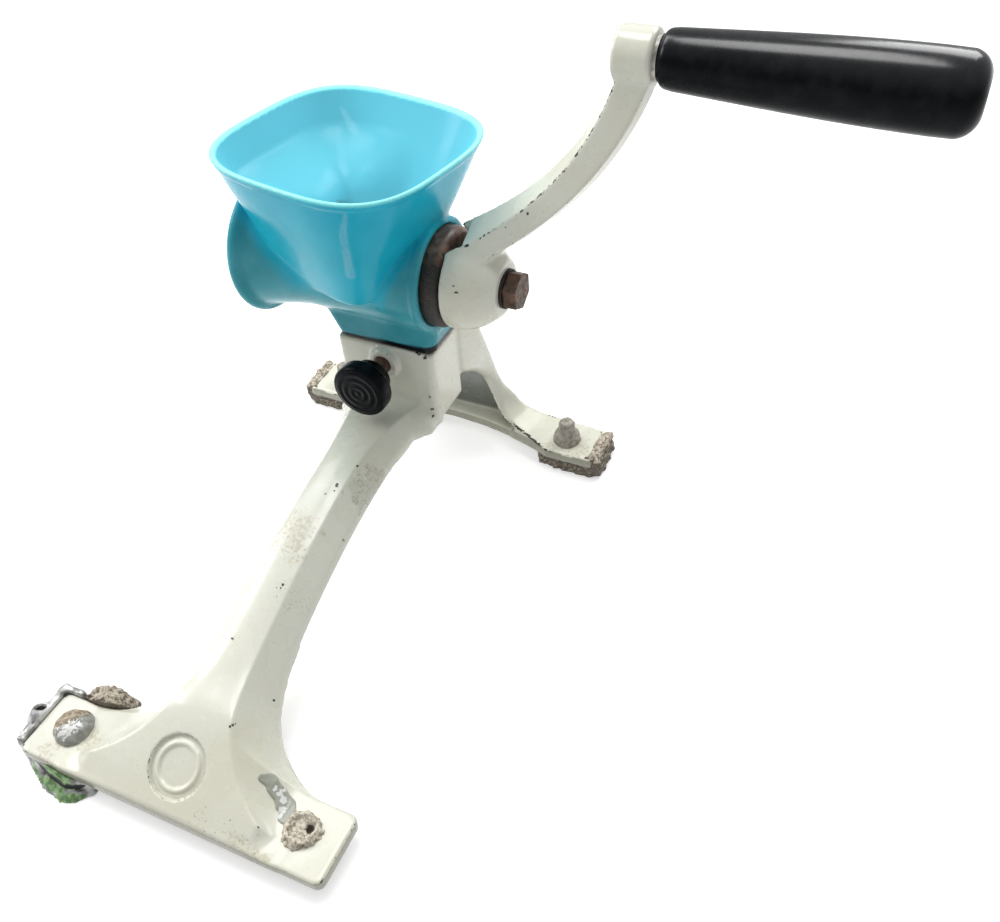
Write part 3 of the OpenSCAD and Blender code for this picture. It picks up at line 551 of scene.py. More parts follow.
def crank_field(x, y, z):
    """Crank in its own frame: a tapering hub, a bent arm and a boss for the grip. The arm is widest at its middle
    plane; its left faces lean in, more so towards the hub."""
    r = np.hypot(y, z)
    hub_r = 21.6 - 9.6 * np.clip((x - 41) / 18.6, 0, 1) ** 2
    hub = soft_max((r - hub_r) * 0.85, np.maximum(37.2 - x, x - 59.6), 1.0)
    t, right, past = beside_arm(x, z)
    width = 15.1 + 4.1 * (1 - t) ** 2
    depth = (14 + 10.9 * (1 - t) ** 3) / 2
    inset = 1.4 + 7.5 * (1 - t)
    front = np.abs(y) / depth
    left_face = (-right - width / 2 + inset * front) * depth / np.hypot(depth, inset)
    right_face = right - width / 2 + 1.3 * front
    arm = soft_max(soft_max(left_face, right_face, 0.5), np.abs(y) - depth, 0.7)
    arm = soft_max(soft_max(arm, past, 0.5), np.maximum(37.5 - x, x - 116.3), 0.6)
    boss = rod(y, z - CRANK_R, x, 10.4, 101.5, 116.7, 1.8)
    f = soft_max(soft_min(hub, arm, 3.5), -hub_pocket(x, y, z), 0.6)
    f = soft_min(f, boss, 1.4)
    f = np.maximum(f, -np.maximum(np.maximum(np.abs(y), np.abs(z)) - 3.5, np.maximum(36 - x, x - 61)))
    return np.maximum(f, -(np.hypot(y, z - CRANK_R) - 3.5))


def on_arm_ridge(x, y, z):
    """1 along the edge between the arm's front and left faces, falling off within a millimetre or so."""
    t, right, _ = beside_arm(x, z)
    depth = (14 + 10.9 * (1 - t) ** 3) / 2
    left = -(15.1 + 4.1 * (1 - t) ** 2) / 2 + 1.4 + 7.5 * (1 - t)
    return np.exp(-((y + depth) ** 2 + (right - left) ** 2) / 1.6)


def to_crank(points):
    """From the crank's own frame to the stand's: a lean about the barrel's axis."""
    c, s = math.cos(CRANK_TILT), math.sin(CRANK_TILT)
    x, y, z = points.T
    return np.stack([x, AXIS_Y + y * c + z * s, AXIS_Z - y * s + z * c], axis=1)


def in_crank(piece):
    """Moves a piece made in the crank's own frame to its place."""
    count = len(piece.data.vertices)
    points = np.empty(count * 3)
    piece.data.vertices.foreach_get("co", points)
    points = to_crank(points.reshape(-1, 3) / MM - TO_ROW)
    piece.data.vertices.foreach_set("co", ((points + TO_ROW) * MM).reshape(-1))
    piece.data.update()
    return piece


crank = in_crank(skin("crank_casting", crank_field, spread(33, 121, 0.8), spread(-25, 25, 0.8), spread(-25, 116, 0.8),
                      marks={"ridge": on_arm_ridge}))
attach(crank, "crank")
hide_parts("crank_arm")

GRIP_X0, GRIP_L = 118.5, 108.0


def grip_profile():
    """Outline of the grip: a rounded nose, a slow swell to its thickest and a domed end, then its hollow."""
    t = np.linspace(0.05, 0.86, 24)
    swell = 10.6 + 3.6 * np.sin(np.pi / 2 * (t / 0.86)) ** 1.15
    outer = (arc(3.2, 7.3, 3.2, 180, 95, 8) + np.stack([t * GRIP_L, swell], 1).tolist()
             + arc(GRIP_L - 8.6, 5.6, 8.6, 78, 0, 12))
    return [[0, 3.55]] + outer + [[GRIP_L, 5.2], [GRIP_L - 0.3, 5.0], [GRIP_L - 3.5, 5.0], [GRIP_L - 3.5, 3.55], [0, 3.55]]


grip = in_crank(turned("grip_handle", grip_profile(), (GRIP_X0, 0, CRANK_R), (1, 0, 0), 128))
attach(grip, "grip")
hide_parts("grip")

ring = turned("bearing_collar", [[23.5, 5.15], [23.5, 22.6]] + arc(32.8, 18.8, 3.8, 90, 4, 10) + [[36.6, 18], [36.6, 5.15], [23.5, 5.15]],
              (0, AXIS_Y, AXIS_Z), (1, 0, 0), 160)
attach(ring, "body")
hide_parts("bearing_ring")


def knob_profile():
    """Outline of the knob: low rings on its face, a rounded rim, a step behind and a collar on the screw."""
    r = np.linspace(0, 12.2, 62)
    face = 0.35 * (0.5 - 0.5 * np.cos(r * np.pi / 1.75)) + 0.5 * (r / 12.2) ** 4
    outer = np.stack([face, r], 1).tolist()
    return outer + [[1.0, 12.9], [1.7, 13.4], [2.6, 13.6], [7.4, 13.6], [8.3, 13.2], [9.0, 12.1], [9.6, 10.4],
                    [10.4, 9.7], [11.4, 9.3], [14.8, 9.0], [14.8, 3.9], [4, 3.9], [4, 0]]


knob = turned("clamp_knob", knob_profile(), (0, 179.2, SCREW_Z), (0, 1, 0), 128)
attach(knob, "screw")
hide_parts("thumb_knob")


# Bolt of the crank: a hexagon head with a chamfered end on a dark washer
HEX_AF, HEX_X0, HEX_H = 15.2, 61.0, 6.2


def hex_field(x, y, z):
    """Hexagon prism: the widest of three pairs of flats, cut by a cone at its outer end."""
    turns = np.radians((12, 72, 132))
    flats = soft_max(soft_max(*(np.abs(y * math.cos(a) + z * math.sin(a)) for a in turns[:2]), 0.4),
                     np.abs(y * math.cos(turns[2]) + z * math.sin(turns[2])), 0.4) - HEX_AF / 2
    cone = (np.hypot(y, z) - 8.6 + (x - HEX_X0 - HEX_H) * 1.7) * 0.5
    head = soft_max(soft_max(flats, cone, 0.3), np.maximum(HEX_X0 - x, x - HEX_X0 - HEX_H), 0.5)
    return np.minimum(head, np.maximum(np.hypot(y, z) - 2.5, np.abs(x - 55) - 7))


hex_bolt = in_crank(skin("hexagon_bolt", hex_field, spread(47, 68, 0.5), spread(-10, 10, 0.4), spread(-10, 10, 0.4)))
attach(hex_bolt, "crank")
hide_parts("crank_bolt")


# Foot bolts and what the feet were bedded in
def creases(x, y, z, size):
    """Sharp folds from -1 to 1, as in crumpled foil: the mean of triangle waves that run in five directions."""
    total = 0
    for i in range(5):
        turn, tip = 0.7 + 2.4 * i, 1.3 * i
        along = (x * math.cos(turn) + (y * math.cos(tip) + z * math.sin(tip)) * math.sin(turn)) / size
        along = along / (1 + 0.23 * i) + 0.37 * i
        total = total + 4 * np.abs(along - np.round(along)) - 1
    return total / 5


def lumps(x, y, z, size):
    """Uneven bumps from -1 to 1: three octaves of products of sines, each bent by another."""
    total, scale = 0, 1 / size
    for i, share in enumerate((0.5, 0.3, 0.2)):
        c, s = math.cos(1.1 + i), math.sin(1.1 + i)
        u, v, w = c * x + s * y + 0.3 * z, c * y - s * x + 0.4 * z, z + 0.3 * x - 0.2 * y
        total = total + share * (np.sin(u * scale * 2 + 1.7 * np.sin(v * scale * 1.4 + i))
                                 * np.sin(v * scale * 2 + 1.3 * np.sin(w * scale * 1.6 + 2 * i)))
        scale *= 2.1
    return total


def within(x, y, corners):
    """Distance to a convex outline of corners, given anticlockwise, measured square to its nearest side."""
    sides = zip(corners, corners[1:] + corners[:1])
    out = -1e3
    for (ax, ay), (bx, by) in sides:
        length = math.hypot(bx - ax, by - ay)
        out = np.maximum(out, ((x - ax) * (by - ay) - (y - ay) * (bx - ax)) / length)
    return out


def foil_field(x, y, z):
    """Foil pressed round the front left foot: a skirt that narrows upwards, a collar at the bar's end, a fold."""
    foot = [(-83.5, 6.3), (-74.4, -0.6), (-61.9, -7.4), (-49.9, -9.8), (-42.8, -7.0), (-37.5, -0.4), (-38, 34),
            (-60, 36), (-79, 30), (-83.5, 20)]
    fall = 1.35 * np.minimum(z, 4.4) * step(6, -3, y) + 0.15 * z
    skirt = soft_max(within(x, y, foot) + fall, z - 11.5 + 0.16 * (x + 75), 1.0)
    collar = block(x, y, z, (-79.2, 2.5, 0.3), (-74.6, 31, 14.2), 1.6)
    corner = block(x, y, z, (-78, 28, 0.3), (-66, 33.5, 14.8), 1.6)
    fold = (np.sqrt(((x + 79) / 4.4) ** 2 + ((y - 17) / 5.5) ** 2 + ((z - 10) / 6) ** 2) - 1) * 4
    f = soft_min(soft_min(skirt, collar, 1.5), soft_min(corner, fold, 1.5), 1.5)
    f = f + 0.8 * creases(x, y, z, 10.0) + 0.25 * creases(y, z, x, 4.0)
    dent = np.sqrt((x + 79.2) ** 2 + (y - 19) ** 2 + ((z - 15) * 0.7) ** 2) - 2.4
    f = soft_max(f, -dent, 0.5)
    bar = block(x, y, z, (-75.1, -0.1, PAD_H - 0.1), (75, 30.4, 40), 3)
    return np.maximum(np.maximum(f, -bar), 0.2 - z)


def putty_field(x, y, z):
    """Putty squeezed out behind the front left foot, against the leg's flank."""
    f = (np.sqrt(((x + 54) / 15) ** 2 + ((y - 34) / 8) ** 2 + ((z - 4) / 13.4) ** 2) - 1) * 8
    f = f + 1.3 * lumps(x, y, z, 5.0)
    bar = block(x, y, z, (-75, 0, PAD_H), (75, 30.5, 40), 3)
    leg = np.maximum(-leg_half(y) - x, BAR_TOP - 5 - z)
    return np.maximum(np.maximum(f, -bar), np.maximum(-leg * (z > 0), 0.2 - z))


def rear_pad_field(x, y, z):
    """Putty under a rear foot, level below, squeezed up round the bar's end."""
    x = np.abs(x)
    foot = [(53, 259), (56, 253), (69.9, 251), (88, 251.5), (91.6, 256), (92, 273), (87, 282.5), (62, 282.5), (54, 276)]
    mat = soft_max(within(x, y, foot) + 0.25 * z, z - 7.4, 1.2)
    end = block(x, y, z, (82, 252, 0), (92.2, 277, 13.6), 2.5)
    f = soft_min(mat, end, 2.0) + 1.2 * lumps(x, y, z, 4.6) + 0.4 * lumps(z, x, y, 1.8)
    bar = block(x, y, z, (-85, 252, PAD_H - 0.1), (85, 276, 40), 3)
    return np.maximum(np.maximum(f, -bar), 0.2 - z)


CRUST_X, CRUST_Y = 56.8, 16.4


def crust_field(x, y, z):
    """Putty in the front right bolt hole: a crusted ring round a shallow crater with a deep pit in it."""
    u, v = x - CRUST_X, y - CRUST_Y
    r, turn = np.hypot(u, v), np.arctan2(v, u)
    rim = 8.0 + 0.7 * np.sin(3 * turn + 1) + 0.4 * np.sin(8 * turn) + 0.3 * np.sin(17 * turn + 2)
    top = 13.2 + 2.3 * np.exp(-((r - 5.9) / 1.7) ** 2) + 0.9 * np.exp(-(r / 5) ** 2)
    pit = 2.8 * np.exp(-((x - 59.6) ** 2 + (y - 18.2) ** 2) / 3.6)
    rough = 0.5 * lumps(x, y, z, 2.4) + 0.3 * lumps(y, z, x, 1.1)
    f = soft_max((z - np.maximum(top - rough, 13.4) + pit) * 0.7, r - rim + rough, 0.8)
    plug = np.maximum(np.hypot(x - 58, y - 17) - 3.3, z - 11.4)
    return np.maximum(np.minimum(np.maximum(f, 10.8 - z), plug), PAD_H - z)


SEALANT = ((33.5, 26.0, 1.6), (36.5, 27.2, 2.4), (40.5, 25.4, 2.9), (45.3, 22.8, 3.4), (48.8, 19.0, 4.0))


def sealant_field(x, y, z):
    """Smear of sealant that widens towards the crust: flattened rods from point to point on the foot's slope."""
    out = 1e3
    for (ax, ay, ar), (bx, by, br) in zip(SEALANT, SEALANT[1:]):
        t = np.clip(((x - ax) * (bx - ax) + (y - ay) * (by - ay)) / ((bx - ax) ** 2 + (by - ay) ** 2), 0, 1)
        away = np.hypot(x - ax - t * (bx - ax), y - ay - t * (by - ay)) - ar - t * (br - ar)
        out = soft_min(out, away, 1.5)
    base = np.maximum(leg_top(x, y), BAR_TOP)
    out = np.maximum(out + 0.6 * lumps(x, y, 0 * z, 4.0), 6.6 - np.hypot(x - CRUST_X, y - CRUST_Y))
    return soft_max(out * 0.8, np.abs(z - base) - 0.8 - 0.2 * lumps(x, y, 0 * z, 3.0), 0.7)


foil = skin("foil_wrap", foil_field, spread(-87, -33, 0.75), spread(-13, 40, 0.75), spread(-1, 18, 0.75))
left_putty = skin("putty_lump", putty_field, spread(-73, -33, 0.7), spread(23, 46, 0.7), spread(-1, 23, 0.7))
rear_left, rear_right = (skin(name, rear_pad_field, spread(*xs, 0.8), spread(247, 287, 0.8), spread(-1, 16, 0.8))
                         for name, xs in (("rear_left_putty", (-96, -49)), ("rear_right_putty", (49, 96))))
crust = skin("crusted_putty", crust_field, spread(45, 69, 0.5), spread(5, 29, 0.5), spread(5, 19, 0.5))
sealant = skin("sealant_smear", sealant_field, spread(21, 59, 0.6), spread(9, 37, 0.6), spread(8, 34, 0.6))


def front_bolt_profile():
    """Outline of the front bolt: a broad low dome, then its shank."""
    a = np.radians(np.linspace(90, 4, 14))
    dome = np.stack([13.0 + 5.8 * np.sin(a), 8.7 * np.cos(a)], 1).tolist()
    return dome + [[13.0, 8.7], [13.0, 3.0], [1.4, 3.0], [1.4, 0]]


def rear_bolt_profile():
    """Outline of a rear bolt: a dome with a smaller, flat-topped knob on it, then its shank."""
    knob = [[26.0, 0], [26.0, 2.7], [25.5, 3.6], [24.4, 4.2], [21.8, 4.4], [20.0, 4.9]]
    a = np.radians(np.linspace(42, 2, 10))
    dome = np.stack([13.0 + 8.0 * np.sin(a), 7.4 * np.cos(a) ** 0.7], 1).tolist()
    return knob + dome + [[13.0, 7.4], [13.0, 3.0], [1.4, 3.0], [1.4, 0]]


front_dome = turned("front_dome_bolt", front_bolt_profile(), (-FOOT_BOLT_X - 1, FOOT_BOLT_Y, 0), (0, 0, 1), 72,
                    lambda along, angle: 0.25 * np.sin(3 * angle + along) + 0.12 * np.sin(11 * angle))
rear_domes = [turned(name, rear_bolt_profile(), (x, REAR_BOLT_Y, 0), (0, 0, 1), 64,
                     lambda along, angle: 0.15 * np.sin(4 * angle + along) + 0.1 * np.sin(9 * angle + 2 * along))
              for name, x in (("rear_left_bolt", -REAR_BOLT_X), ("rear_right_bolt", REAR_BOLT_X))]
for piece in (foil, left_putty, rear_left, rear_right, crust, sealant, front_dome, *rear_domes):
    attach(piece, "stand")
for pieces, node in (((foil, left_putty), "front_left_pad"), ((rear_left, rear_right), "rear_pads"),
                     ((crust,), "putty_plug"), ((front_dome,), "front_bolt"), (rear_domes, "rear_bolts")):
    for piece in pieces:
        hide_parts(node)


# Shader maths
class Socket:
    """A socket that can be used in Python expressions."""

    def __init__(self, shader, socket):
        self.shader, self.socket = shader, socket

    def _math(self, operation, *values):
        return self.shader.node("ShaderNodeMath", {"operation": operation}, *values)

    def __add__(self, other):
        return self._math("ADD", self, other)

    def __mul__(self, other):
        return self._math("MULTIPLY", self, other)

    def __sub__(self, other):
        return self._math("SUBTRACT", self, other)

    def __rsub__(self, other):
        return self._math("SUBTRACT", other, self)

    def __truediv__(self, other):
        return self._math("DIVIDE", self, other)

    def __pow__(self, other):
        return self._math("POWER", self, other)

    __radd__, __rmul__ = __add__, __mul__

    def low(self, other):
        return self._math("MINIMUM", self, other)

    def high(self, other):
        return self._math("MAXIMUM", self, other)

    def ramp(self, a, b, low=0.0, high=1.0):
        """Runs smoothly from low, where this is a, to high, where it is b."""
        return self.shader.node("ShaderNodeMapRange", {"interpolation_type": "SMOOTHSTEP"},
                                Value=self, **{"From Min": a, "From Max": b, "To Min": low, "To Max": high})


class Finish:
    """A material, or a world, made of nodes."""

    def __init__(self, name, world=None):
        self.material = world or bpy.data.materials.new(name)
        self.material.use_nodes = True
        self.tree = self.material.node_tree
        self.shader = self.tree.nodes["Background" if world else "Principled BSDF"]
        self.place = self.node("ShaderNodeTexCoord", out="Object")

    def node(self, kind, settings=None, *inputs, out=None, **named):
        """Adds a node, sets it up, joins or fills its sockets, and returns one of its outputs."""
        made = self.tree.nodes.new(kind)
        for key, value in (settings or {}).items():
            if key == "stops":
                self._stops(made, value)
            else:
                setattr(made, key, value)
        for key, value in list(enumerate(inputs)) + list(named.items()):
            self._fill(made.inputs[key], value)
        outputs = [o for o in made.outputs if o.enabled]
        return Socket(self, made.outputs[out] if out else outputs[0])

    def _stops(self, ramp, stops):
        elements = ramp.color_ramp.elements
        while len(elements) < len(stops):
            elements.new(0.5)
        for element, (position, colour) in zip(elements, stops):
            element.position = position
            element.color = (*colour, 1)

    def _fill(self, socket, value):
        if isinstance(value, Socket):
            self.tree.links.new(value.socket, socket)
        elif hasattr(socket.default_value, "__len__") and not hasattr(value, "__len__"):
            socket.default_value = (value,) * len(socket.default_value)
        elif hasattr(value, "__len__") and len(socket.default_value) == 4 and len(value) == 3:
            socket.default_value = (*value, 1)
        else:
            socket.default_value = value

    def noise(self, size, detail=3.0, rough=0.55, stretch=None, seed=0.0, warp=0.0):
        """Noise whose grains are about size millimetres."""
        at = self.place
        if stretch or seed:
            at = self.node("ShaderNodeMapping", None, at, Scale=stretch or (1, 1, 1), Location=(seed, seed * 0.7, 0))
        return self.node("ShaderNodeTexNoise", None, Vector=at, Scale=1000 / size, Detail=detail,
                         Roughness=rough, Distortion=warp, out="Fac")

    def height(self):
        """Height over the floor, in metres."""
        return self.node("ShaderNodeSeparateXYZ", None, self.place, out="Z")

    def value(self, name):
        return self.node("ShaderNodeAttribute", {"attribute_name": name}, out="Fac")

    def mix(self, factor, a, b):
        """Colour a where the factor is 0 and b where it is 1."""
        made = self.tree.nodes.new("ShaderNodeMix")
        made.data_type = "RGBA"
        for index, value in ((0, factor), (6, a), (7, b)):
            self._fill(made.inputs[index], value)
        return Socket(self, made.outputs[2])

    def spot(self, centre, reach, grain, rough=0.35):
        """1 at a point of the stand and 0 beyond reach, both in millimetres, with an edge that a noise makes ragged."""
        at = [(c + t) * MM for c, t in zip(centre, TO_ROW)]
        away = self.node("ShaderNodeVectorMath", {"operation": "SUBTRACT"}, self.place, at)
        length = self.node("ShaderNodeVectorMath", {"operation": "LENGTH"}, away, out="Value")
        return (length * (1000 / reach) + (grain - 0.5) * rough * 4).ramp(1.05, 0.85)

    def spots(self, places, grain, rough=0.35):
        """Several spots, given as (x, y, z, reach), in one mask."""
        masks = [self.spot(place[:3], place[3], grain, rough) for place in places]
        return functools.reduce(Socket.high, masks)

    def bump(self, height, depth, distance=1.0):
        """Normal from a height: depth is how strong it is, distance how high in millimetres."""
        return self.node("ShaderNodeBump", None, Height=height, Strength=depth, Distance=distance * MM)

    def finish(self, colour, roughness, normal=None, metallic=0.0, coat=0.0, specular=0.5):
        for key, value in (("Base Color", colour), ("Roughness", roughness), ("Metallic", metallic),
                           ("Coat Weight", coat), ("Specular IOR Level", specular)):
            self._fill(self.shader.inputs[key], value)
        if normal:
            self._fill(self.shader.inputs["Normal"], normal)
        return self.material


# Marks on the cream paint, as (x, y, z, reach) in stand millimetres
CHIPS = ((9, 157, 66.8, 0.5), (5.5, 144, 65.2, 1.0), (5.9, 141, 64.6, 0.6), (3, 138, 64.2, 0.5), (17, 126, 51, 0.8),
         (5.5, 94.6, 50.6, 0.6), (5.3, 92.9, 50.1, 0.5), (-4, 67, 41.6, 0.7), (15.2, 35, 33.4, 0.6), (15.7, 36.2, 33.3, 0.6),
         (16.2, 37.4, 33.1, 0.5), (20.4, 56, 25.7, 0.5), (17.7, 206.5, 98.4, 0.9), (19, 206, 98.4, 0.7),
         (22.3, 205.5, 97.4, 1.1), (24, 205.5, 98, 0.8), (22.2, 205.5, 73.8, 0.6), (22.6, 205.3, 66.4, 0.7),
         (23.4, 204, 63.3, 0.6), (44.4, 200.4, 145.3, 0.5), (45.4, 199.5, 143, 0.5), (46.2, 199.3, 142.7, 0.5),
         (71.8, 217.9, 174.8, 0.6), (62.5, 216, 168, 0.4), (84, 222, 189, 0.4))
TAN_STAINS = ((-1, 119, 59, 9), (2, 110, 56.5, 7), (-47, 14, 13.6, 6), (-44, 12, 13.4, 4), (-62, 5, 13, 5),
              (38, 1, 12.5, 6), (47, 0, 10, 6), (76, 258, 13, 8), (66, 252, 12, 6))
SPECKLED = ((11, 93, 46.5, 8), (-6.8, 113, 56.6, 6), (19, 3.4, 16, 6), (29, 2.4, 15, 6), (39, 0.4, 13.5, 6))
PEELED = ((15, 150, 59, 9), (17, 158, 60, 7))


def cream_enamel():
    """Worn cream enamel: yellowed in patches, stained and speckled, chipped to dark metal along its edges, with painted
    shade on the bars' sides, round the sunk disc and in the rear leg's hollow.
    """
    m = Finish("cream_enamel")
    fine, middle = m.noise(2.2, 4, 0.7), m.noise(4.5, 4, 0.7)
    tint = m.mix(m.noise(45, 4).ramp(0.4, 0.68), (0.775, 0.775, 0.665), (0.74, 0.725, 0.59))
    stain = m.spots(TAN_STAINS, middle, 0.8) * m.noise(1.6, 3, 0.6).ramp(0.35, 0.65)
    tint = m.mix(stain * 0.6, tint, (0.50, 0.43, 0.29))
    peeled = m.spots(PEELED, middle, 0.7)
    tint = m.mix(peeled * 0.35, tint, (0.56, 0.54, 0.44))
    flaked = peeled * (m.noise(5, 4, 0.6, seed=9) - 0.5).ramp(-0.02, 0.0) * (m.noise(5, 4, 0.6, seed=9) - 0.5).ramp(0.02, 0.0)
    tint = m.mix(flaked * 0.6, tint, (0.25, 0.20, 0.13))
    # Dark grey on the walls of the rear leg's hollow: partly painted shade, partly bare unpainted metal.
    tint = m.mix(m.value("hollow") * 0.9, tint, (0.13, 0.145, 0.13))
    # Painted shade: the bars' sides, below their tops and not facing up, are painted darker.
    bar_side_shade = m.value("up").ramp(0.7, 0.2) * m.height().ramp(0.0145, 0.0135)
    tint = m.mix(bar_side_shade, tint, (0.38, 0.375, 0.29))
    specks = m.spots(SPECKLED, middle, 0.8) * m.noise(1.0, 3, 0.6).ramp(0.60, 0.68) * 0.7
    specks = specks.high(m.noise(0.8, 2, 0.5, seed=5).ramp(0.72, 0.76) * 0.6)
    tint = m.mix(specks, tint, (0.20, 0.155, 0.10))
    # Painted shade: a dark line round the edge of the sunk disc.
    round_disc = m.spot((0, MEDALLION_Y, MEDALLION_Z - 0.4), MEDALLION_R, fine, 0.012)
    line = round_disc * m.spot((0, MEDALLION_Y, MEDALLION_Z - 0.4), MEDALLION_R - 0.5, fine, 0.02).ramp(1, 0)
    tint = m.mix(line * 0.5, tint, (0.20, 0.19, 0.16))
    ridge = (m.value("ridge") * 0.5 + fine).ramp(0.96, 1.0)
    chips = (m.value("edge") * 2.3 + fine).ramp(0.98, 1.02).high(m.spots(CHIPS, m.noise(1.2, 3, 0.6), 1.0)).high(ridge)
    colour = m.mix(chips, tint, (0.028, 0.024, 0.022))
    rough = m.noise(12, 3).ramp(0.35, 0.7, 0.20, 0.36) + chips * 0.3 + stain * 0.3 - peeled * 0.08
    height = fine * 0.3 + m.noise(9, 2) * 0.7 - chips * 0.8 - peeled * 0.3
    return m.finish(colour, rough, m.bump(height, 0.12, 0.6), coat=0.25)


def blue_plastic():
    """Glossy sky-blue plastic. Painted light: inside the hopper a paler tint and a glow, a highlight along the rim and
    a shadow at the neck's foot; greyer on the barrel and neck, partly dust and partly painted shade.
    """
    m = Finish("blue_plastic")
    outside = m.mix(m.noise(30, 3).ramp(0.35, 0.7), (0.012, 0.46, 0.62), (0.02, 0.52, 0.68))
    # Greyer and darker on the barrel and neck: partly dust, partly painted shade under the hopper.
    dust_and_shade = m.mix(m.noise(14, 4).ramp(0.35, 0.7), (0.06, 0.36, 0.43), (0.09, 0.42, 0.49))
    tint = m.mix(m.value("below"), outside, dust_and_shade)
    # Painted light: the hopper's inner wall glows with an emission of its own.
    painted_glow = m.mix(m.value("inner"), (0.0, 0.0, 0.0), (0.06, 0.215, 0.255))
    # Painted light: a paler, whiter blue on the hopper's inner wall stands for the light and sheen it catches.
    tint = m.mix(m.value("inner"), tint, (0.11, 0.45, 0.55))
    # Painted highlight: the rim's top is pale cyan.
    tint = m.mix(m.value("rim"), tint, (0.34, 0.86, 0.86))
    # Whitish streaks: partly scuffs, partly painted highlight.
    streaks = m.value("smear") * m.noise(3, 3, 0.5, stretch=(1, 1, 0.25)).ramp(0.3, 0.6, 0.5, 1.0)
    tint = m.mix(streaks * 0.22, tint, (0.66, 0.84, 0.87))
    # Painted shadow: near black at the foot of the neck, in the gap above the head.
    tint = m.mix(m.value("gap"), tint, (0.008, 0.010, 0.012))
    m.tree.links.new(painted_glow.socket, m.shader.inputs["Emission Color"])
    m.shader.inputs["Emission Strength"].default_value = 1.0
    rough = m.noise(8, 4).ramp(0.3, 0.75, 0.12, 0.26) + streaks * 0.15
    for key, value in (("Subsurface Weight", 0.6), ("Subsurface Radius", (0.6, 1.0, 1.0)), ("Subsurface Scale", 0.003)):
        m.shader.inputs[key].default_value = value
    return m.finish(tint, rough, m.bump(m.noise(7, 2), 0.05, 0.6), specular=0.12)


def black_plastic():
    """Polished black plastic with fine scuffs."""
    m = Finish("black_plastic")
    tint = m.mix(m.noise(6, 4).ramp(0.4, 0.75), (0.004, 0.005, 0.006), (0.010, 0.012, 0.014))
    rough = m.noise(4, 4).ramp(0.35, 0.75, 0.24, 0.36)
    polish = m.height().ramp(0.239, 0.247)
    m.shader.inputs["Coat Roughness"].default_value = 0.2
    return m.finish(tint, rough, m.bump(m.noise(3, 3), 0.04, 0.4), coat=polish, specular=0.06)


def brown_collar():
    """Dark pitted ring, smoother on top, where a lighter brown is painted as light falling on it."""
    m = Finish("brown_collar")
    pits = m.noise(1.0, 4, 0.7).ramp(0.42, 0.56)
    dark = m.mix(pits, (0.012, 0.010, 0.009), m.mix(m.noise(9, 4).ramp(0.4, 0.7), (0.030, 0.025, 0.021), (0.055, 0.04, 0.03)))
    # Painted light: a lighter brown spot on the ring's top, where light falls on it.
    top = m.spot((31, 221, 157), 17, m.noise(5), 0.3)
    colour = m.mix(top, dark, m.mix(m.noise(5, 4).ramp(0.35, 0.65), (0.10, 0.055, 0.038), (0.24, 0.14, 0.10)))
    return m.finish(colour, 0.6 - top * 0.25, m.bump(pits * (1 - top * 0.8), 0.35, 0.3))


def metal(name, light, dark, rough=0.4, metallic=0.9, grain=2.5):
    m = Finish(name)
    tint = m.mix(m.noise(grain, 5, 0.65).ramp(0.35, 0.68), dark, light)
    return m.finish(tint, m.noise(1.6, 3).ramp(0.3, 0.7, rough, rough + 0.3), m.bump(m.noise(0.8, 3), 0.12, 0.2),
                    metallic=metallic)


def putty(name, dark, light, shade, pits=((0, 0, 0, 0.1),)):
    """Dried putty: pale where it faces up and darker on its sides and in its hollows, which is painted shade; dark
    specks of dirt; its pits darkened, partly painted shade and partly dark grit.
    """
    m = Finish(name)
    grain = m.noise(1.8, 5, 0.75)
    tint = m.mix(grain.ramp(0.36, 0.62), dark, light)
    # Painted shade: darker where the putty faces sideways or down and in its hollows; the noise specks are dirt.
    dirt_and_shade = m.value("up").ramp(0.75, 0.1).high((m.value("edge") + (grain - 0.5)).ramp(0.0, -0.2)) * shade
    dirt_and_shade = dirt_and_shade.high(m.noise(1.3, 3, 0.7, seed=4).ramp(0.58, 0.64) * 0.8).high(m.spots(pits, grain, 0.4))
    return m.finish(m.mix(dirt_and_shade, tint, (0.070, 0.056, 0.044)), 0.8, m.bump(grain, 0.7, 0.6))


def foil_metal():
    """Crumpled silver foil with green print in streaks on its front, and painted shade in its creases."""
    m = Finish("crumpled_foil")
    grain = m.noise(5, 3, 0.5)
    green = m.noise(9, 2, 0.5, stretch=(0.5, 0.5, 2), seed=3).ramp(0.47, 0.52) * m.spot((-60, -6, 2), 19, grain, 0.4)
    base = m.mix(grain.ramp(0.4, 0.6), (0.30, 0.30, 0.29), (0.70, 0.70, 0.68))
    print_tint = m.mix(m.noise(2.4, 3).ramp(0.35, 0.65), (0.08, 0.20, 0.05), (0.30, 0.52, 0.20))
    colour = m.mix(green * 0.85, base, print_tint)
    # Painted shade: the foil's hollow creases are darkened.
    crease_shade = (m.value("edge") + (grain - 0.5) * 0.2).ramp(-0.01, -0.08)
    colour = m.mix(crease_shade, colour, (0.03, 0.03, 0.028))
    return m.finish(colour, m.noise(4, 3).ramp(0.3, 0.7, 0.28, 0.5), m.bump(m.noise(1.2, 4, 0.7), 0.2, 0.4), metallic=0.4)


def sealant_film():
    """Smooth grey-green smear with a painted highlight along its middle."""
    m = Finish("grey_sealant")
    tint = m.mix(m.noise(5, 4).ramp(0.35, 0.7), (0.31, 0.32, 0.26), (0.42, 0.43, 0.36))
    # Painted highlight: a pale streak along the smear's middle.
    highlight_streak = m.spots(((39.5, 25.6, 17, 1.3), (41.5, 25.6, 16, 1.7), (44, 23.5, 15.3, 1.7), (45.5, 20.5, 15, 1.4),
                         (45.6, 17.6, 14.6, 1.5)), m.noise(1.6, 4), 0.8)
    tint = m.mix(highlight_streak, tint, (0.74, 0.75, 0.72))
    return m.finish(tint, 0.3, m.bump(m.noise(3, 3), 0.15, 0.4), coat=0.2)


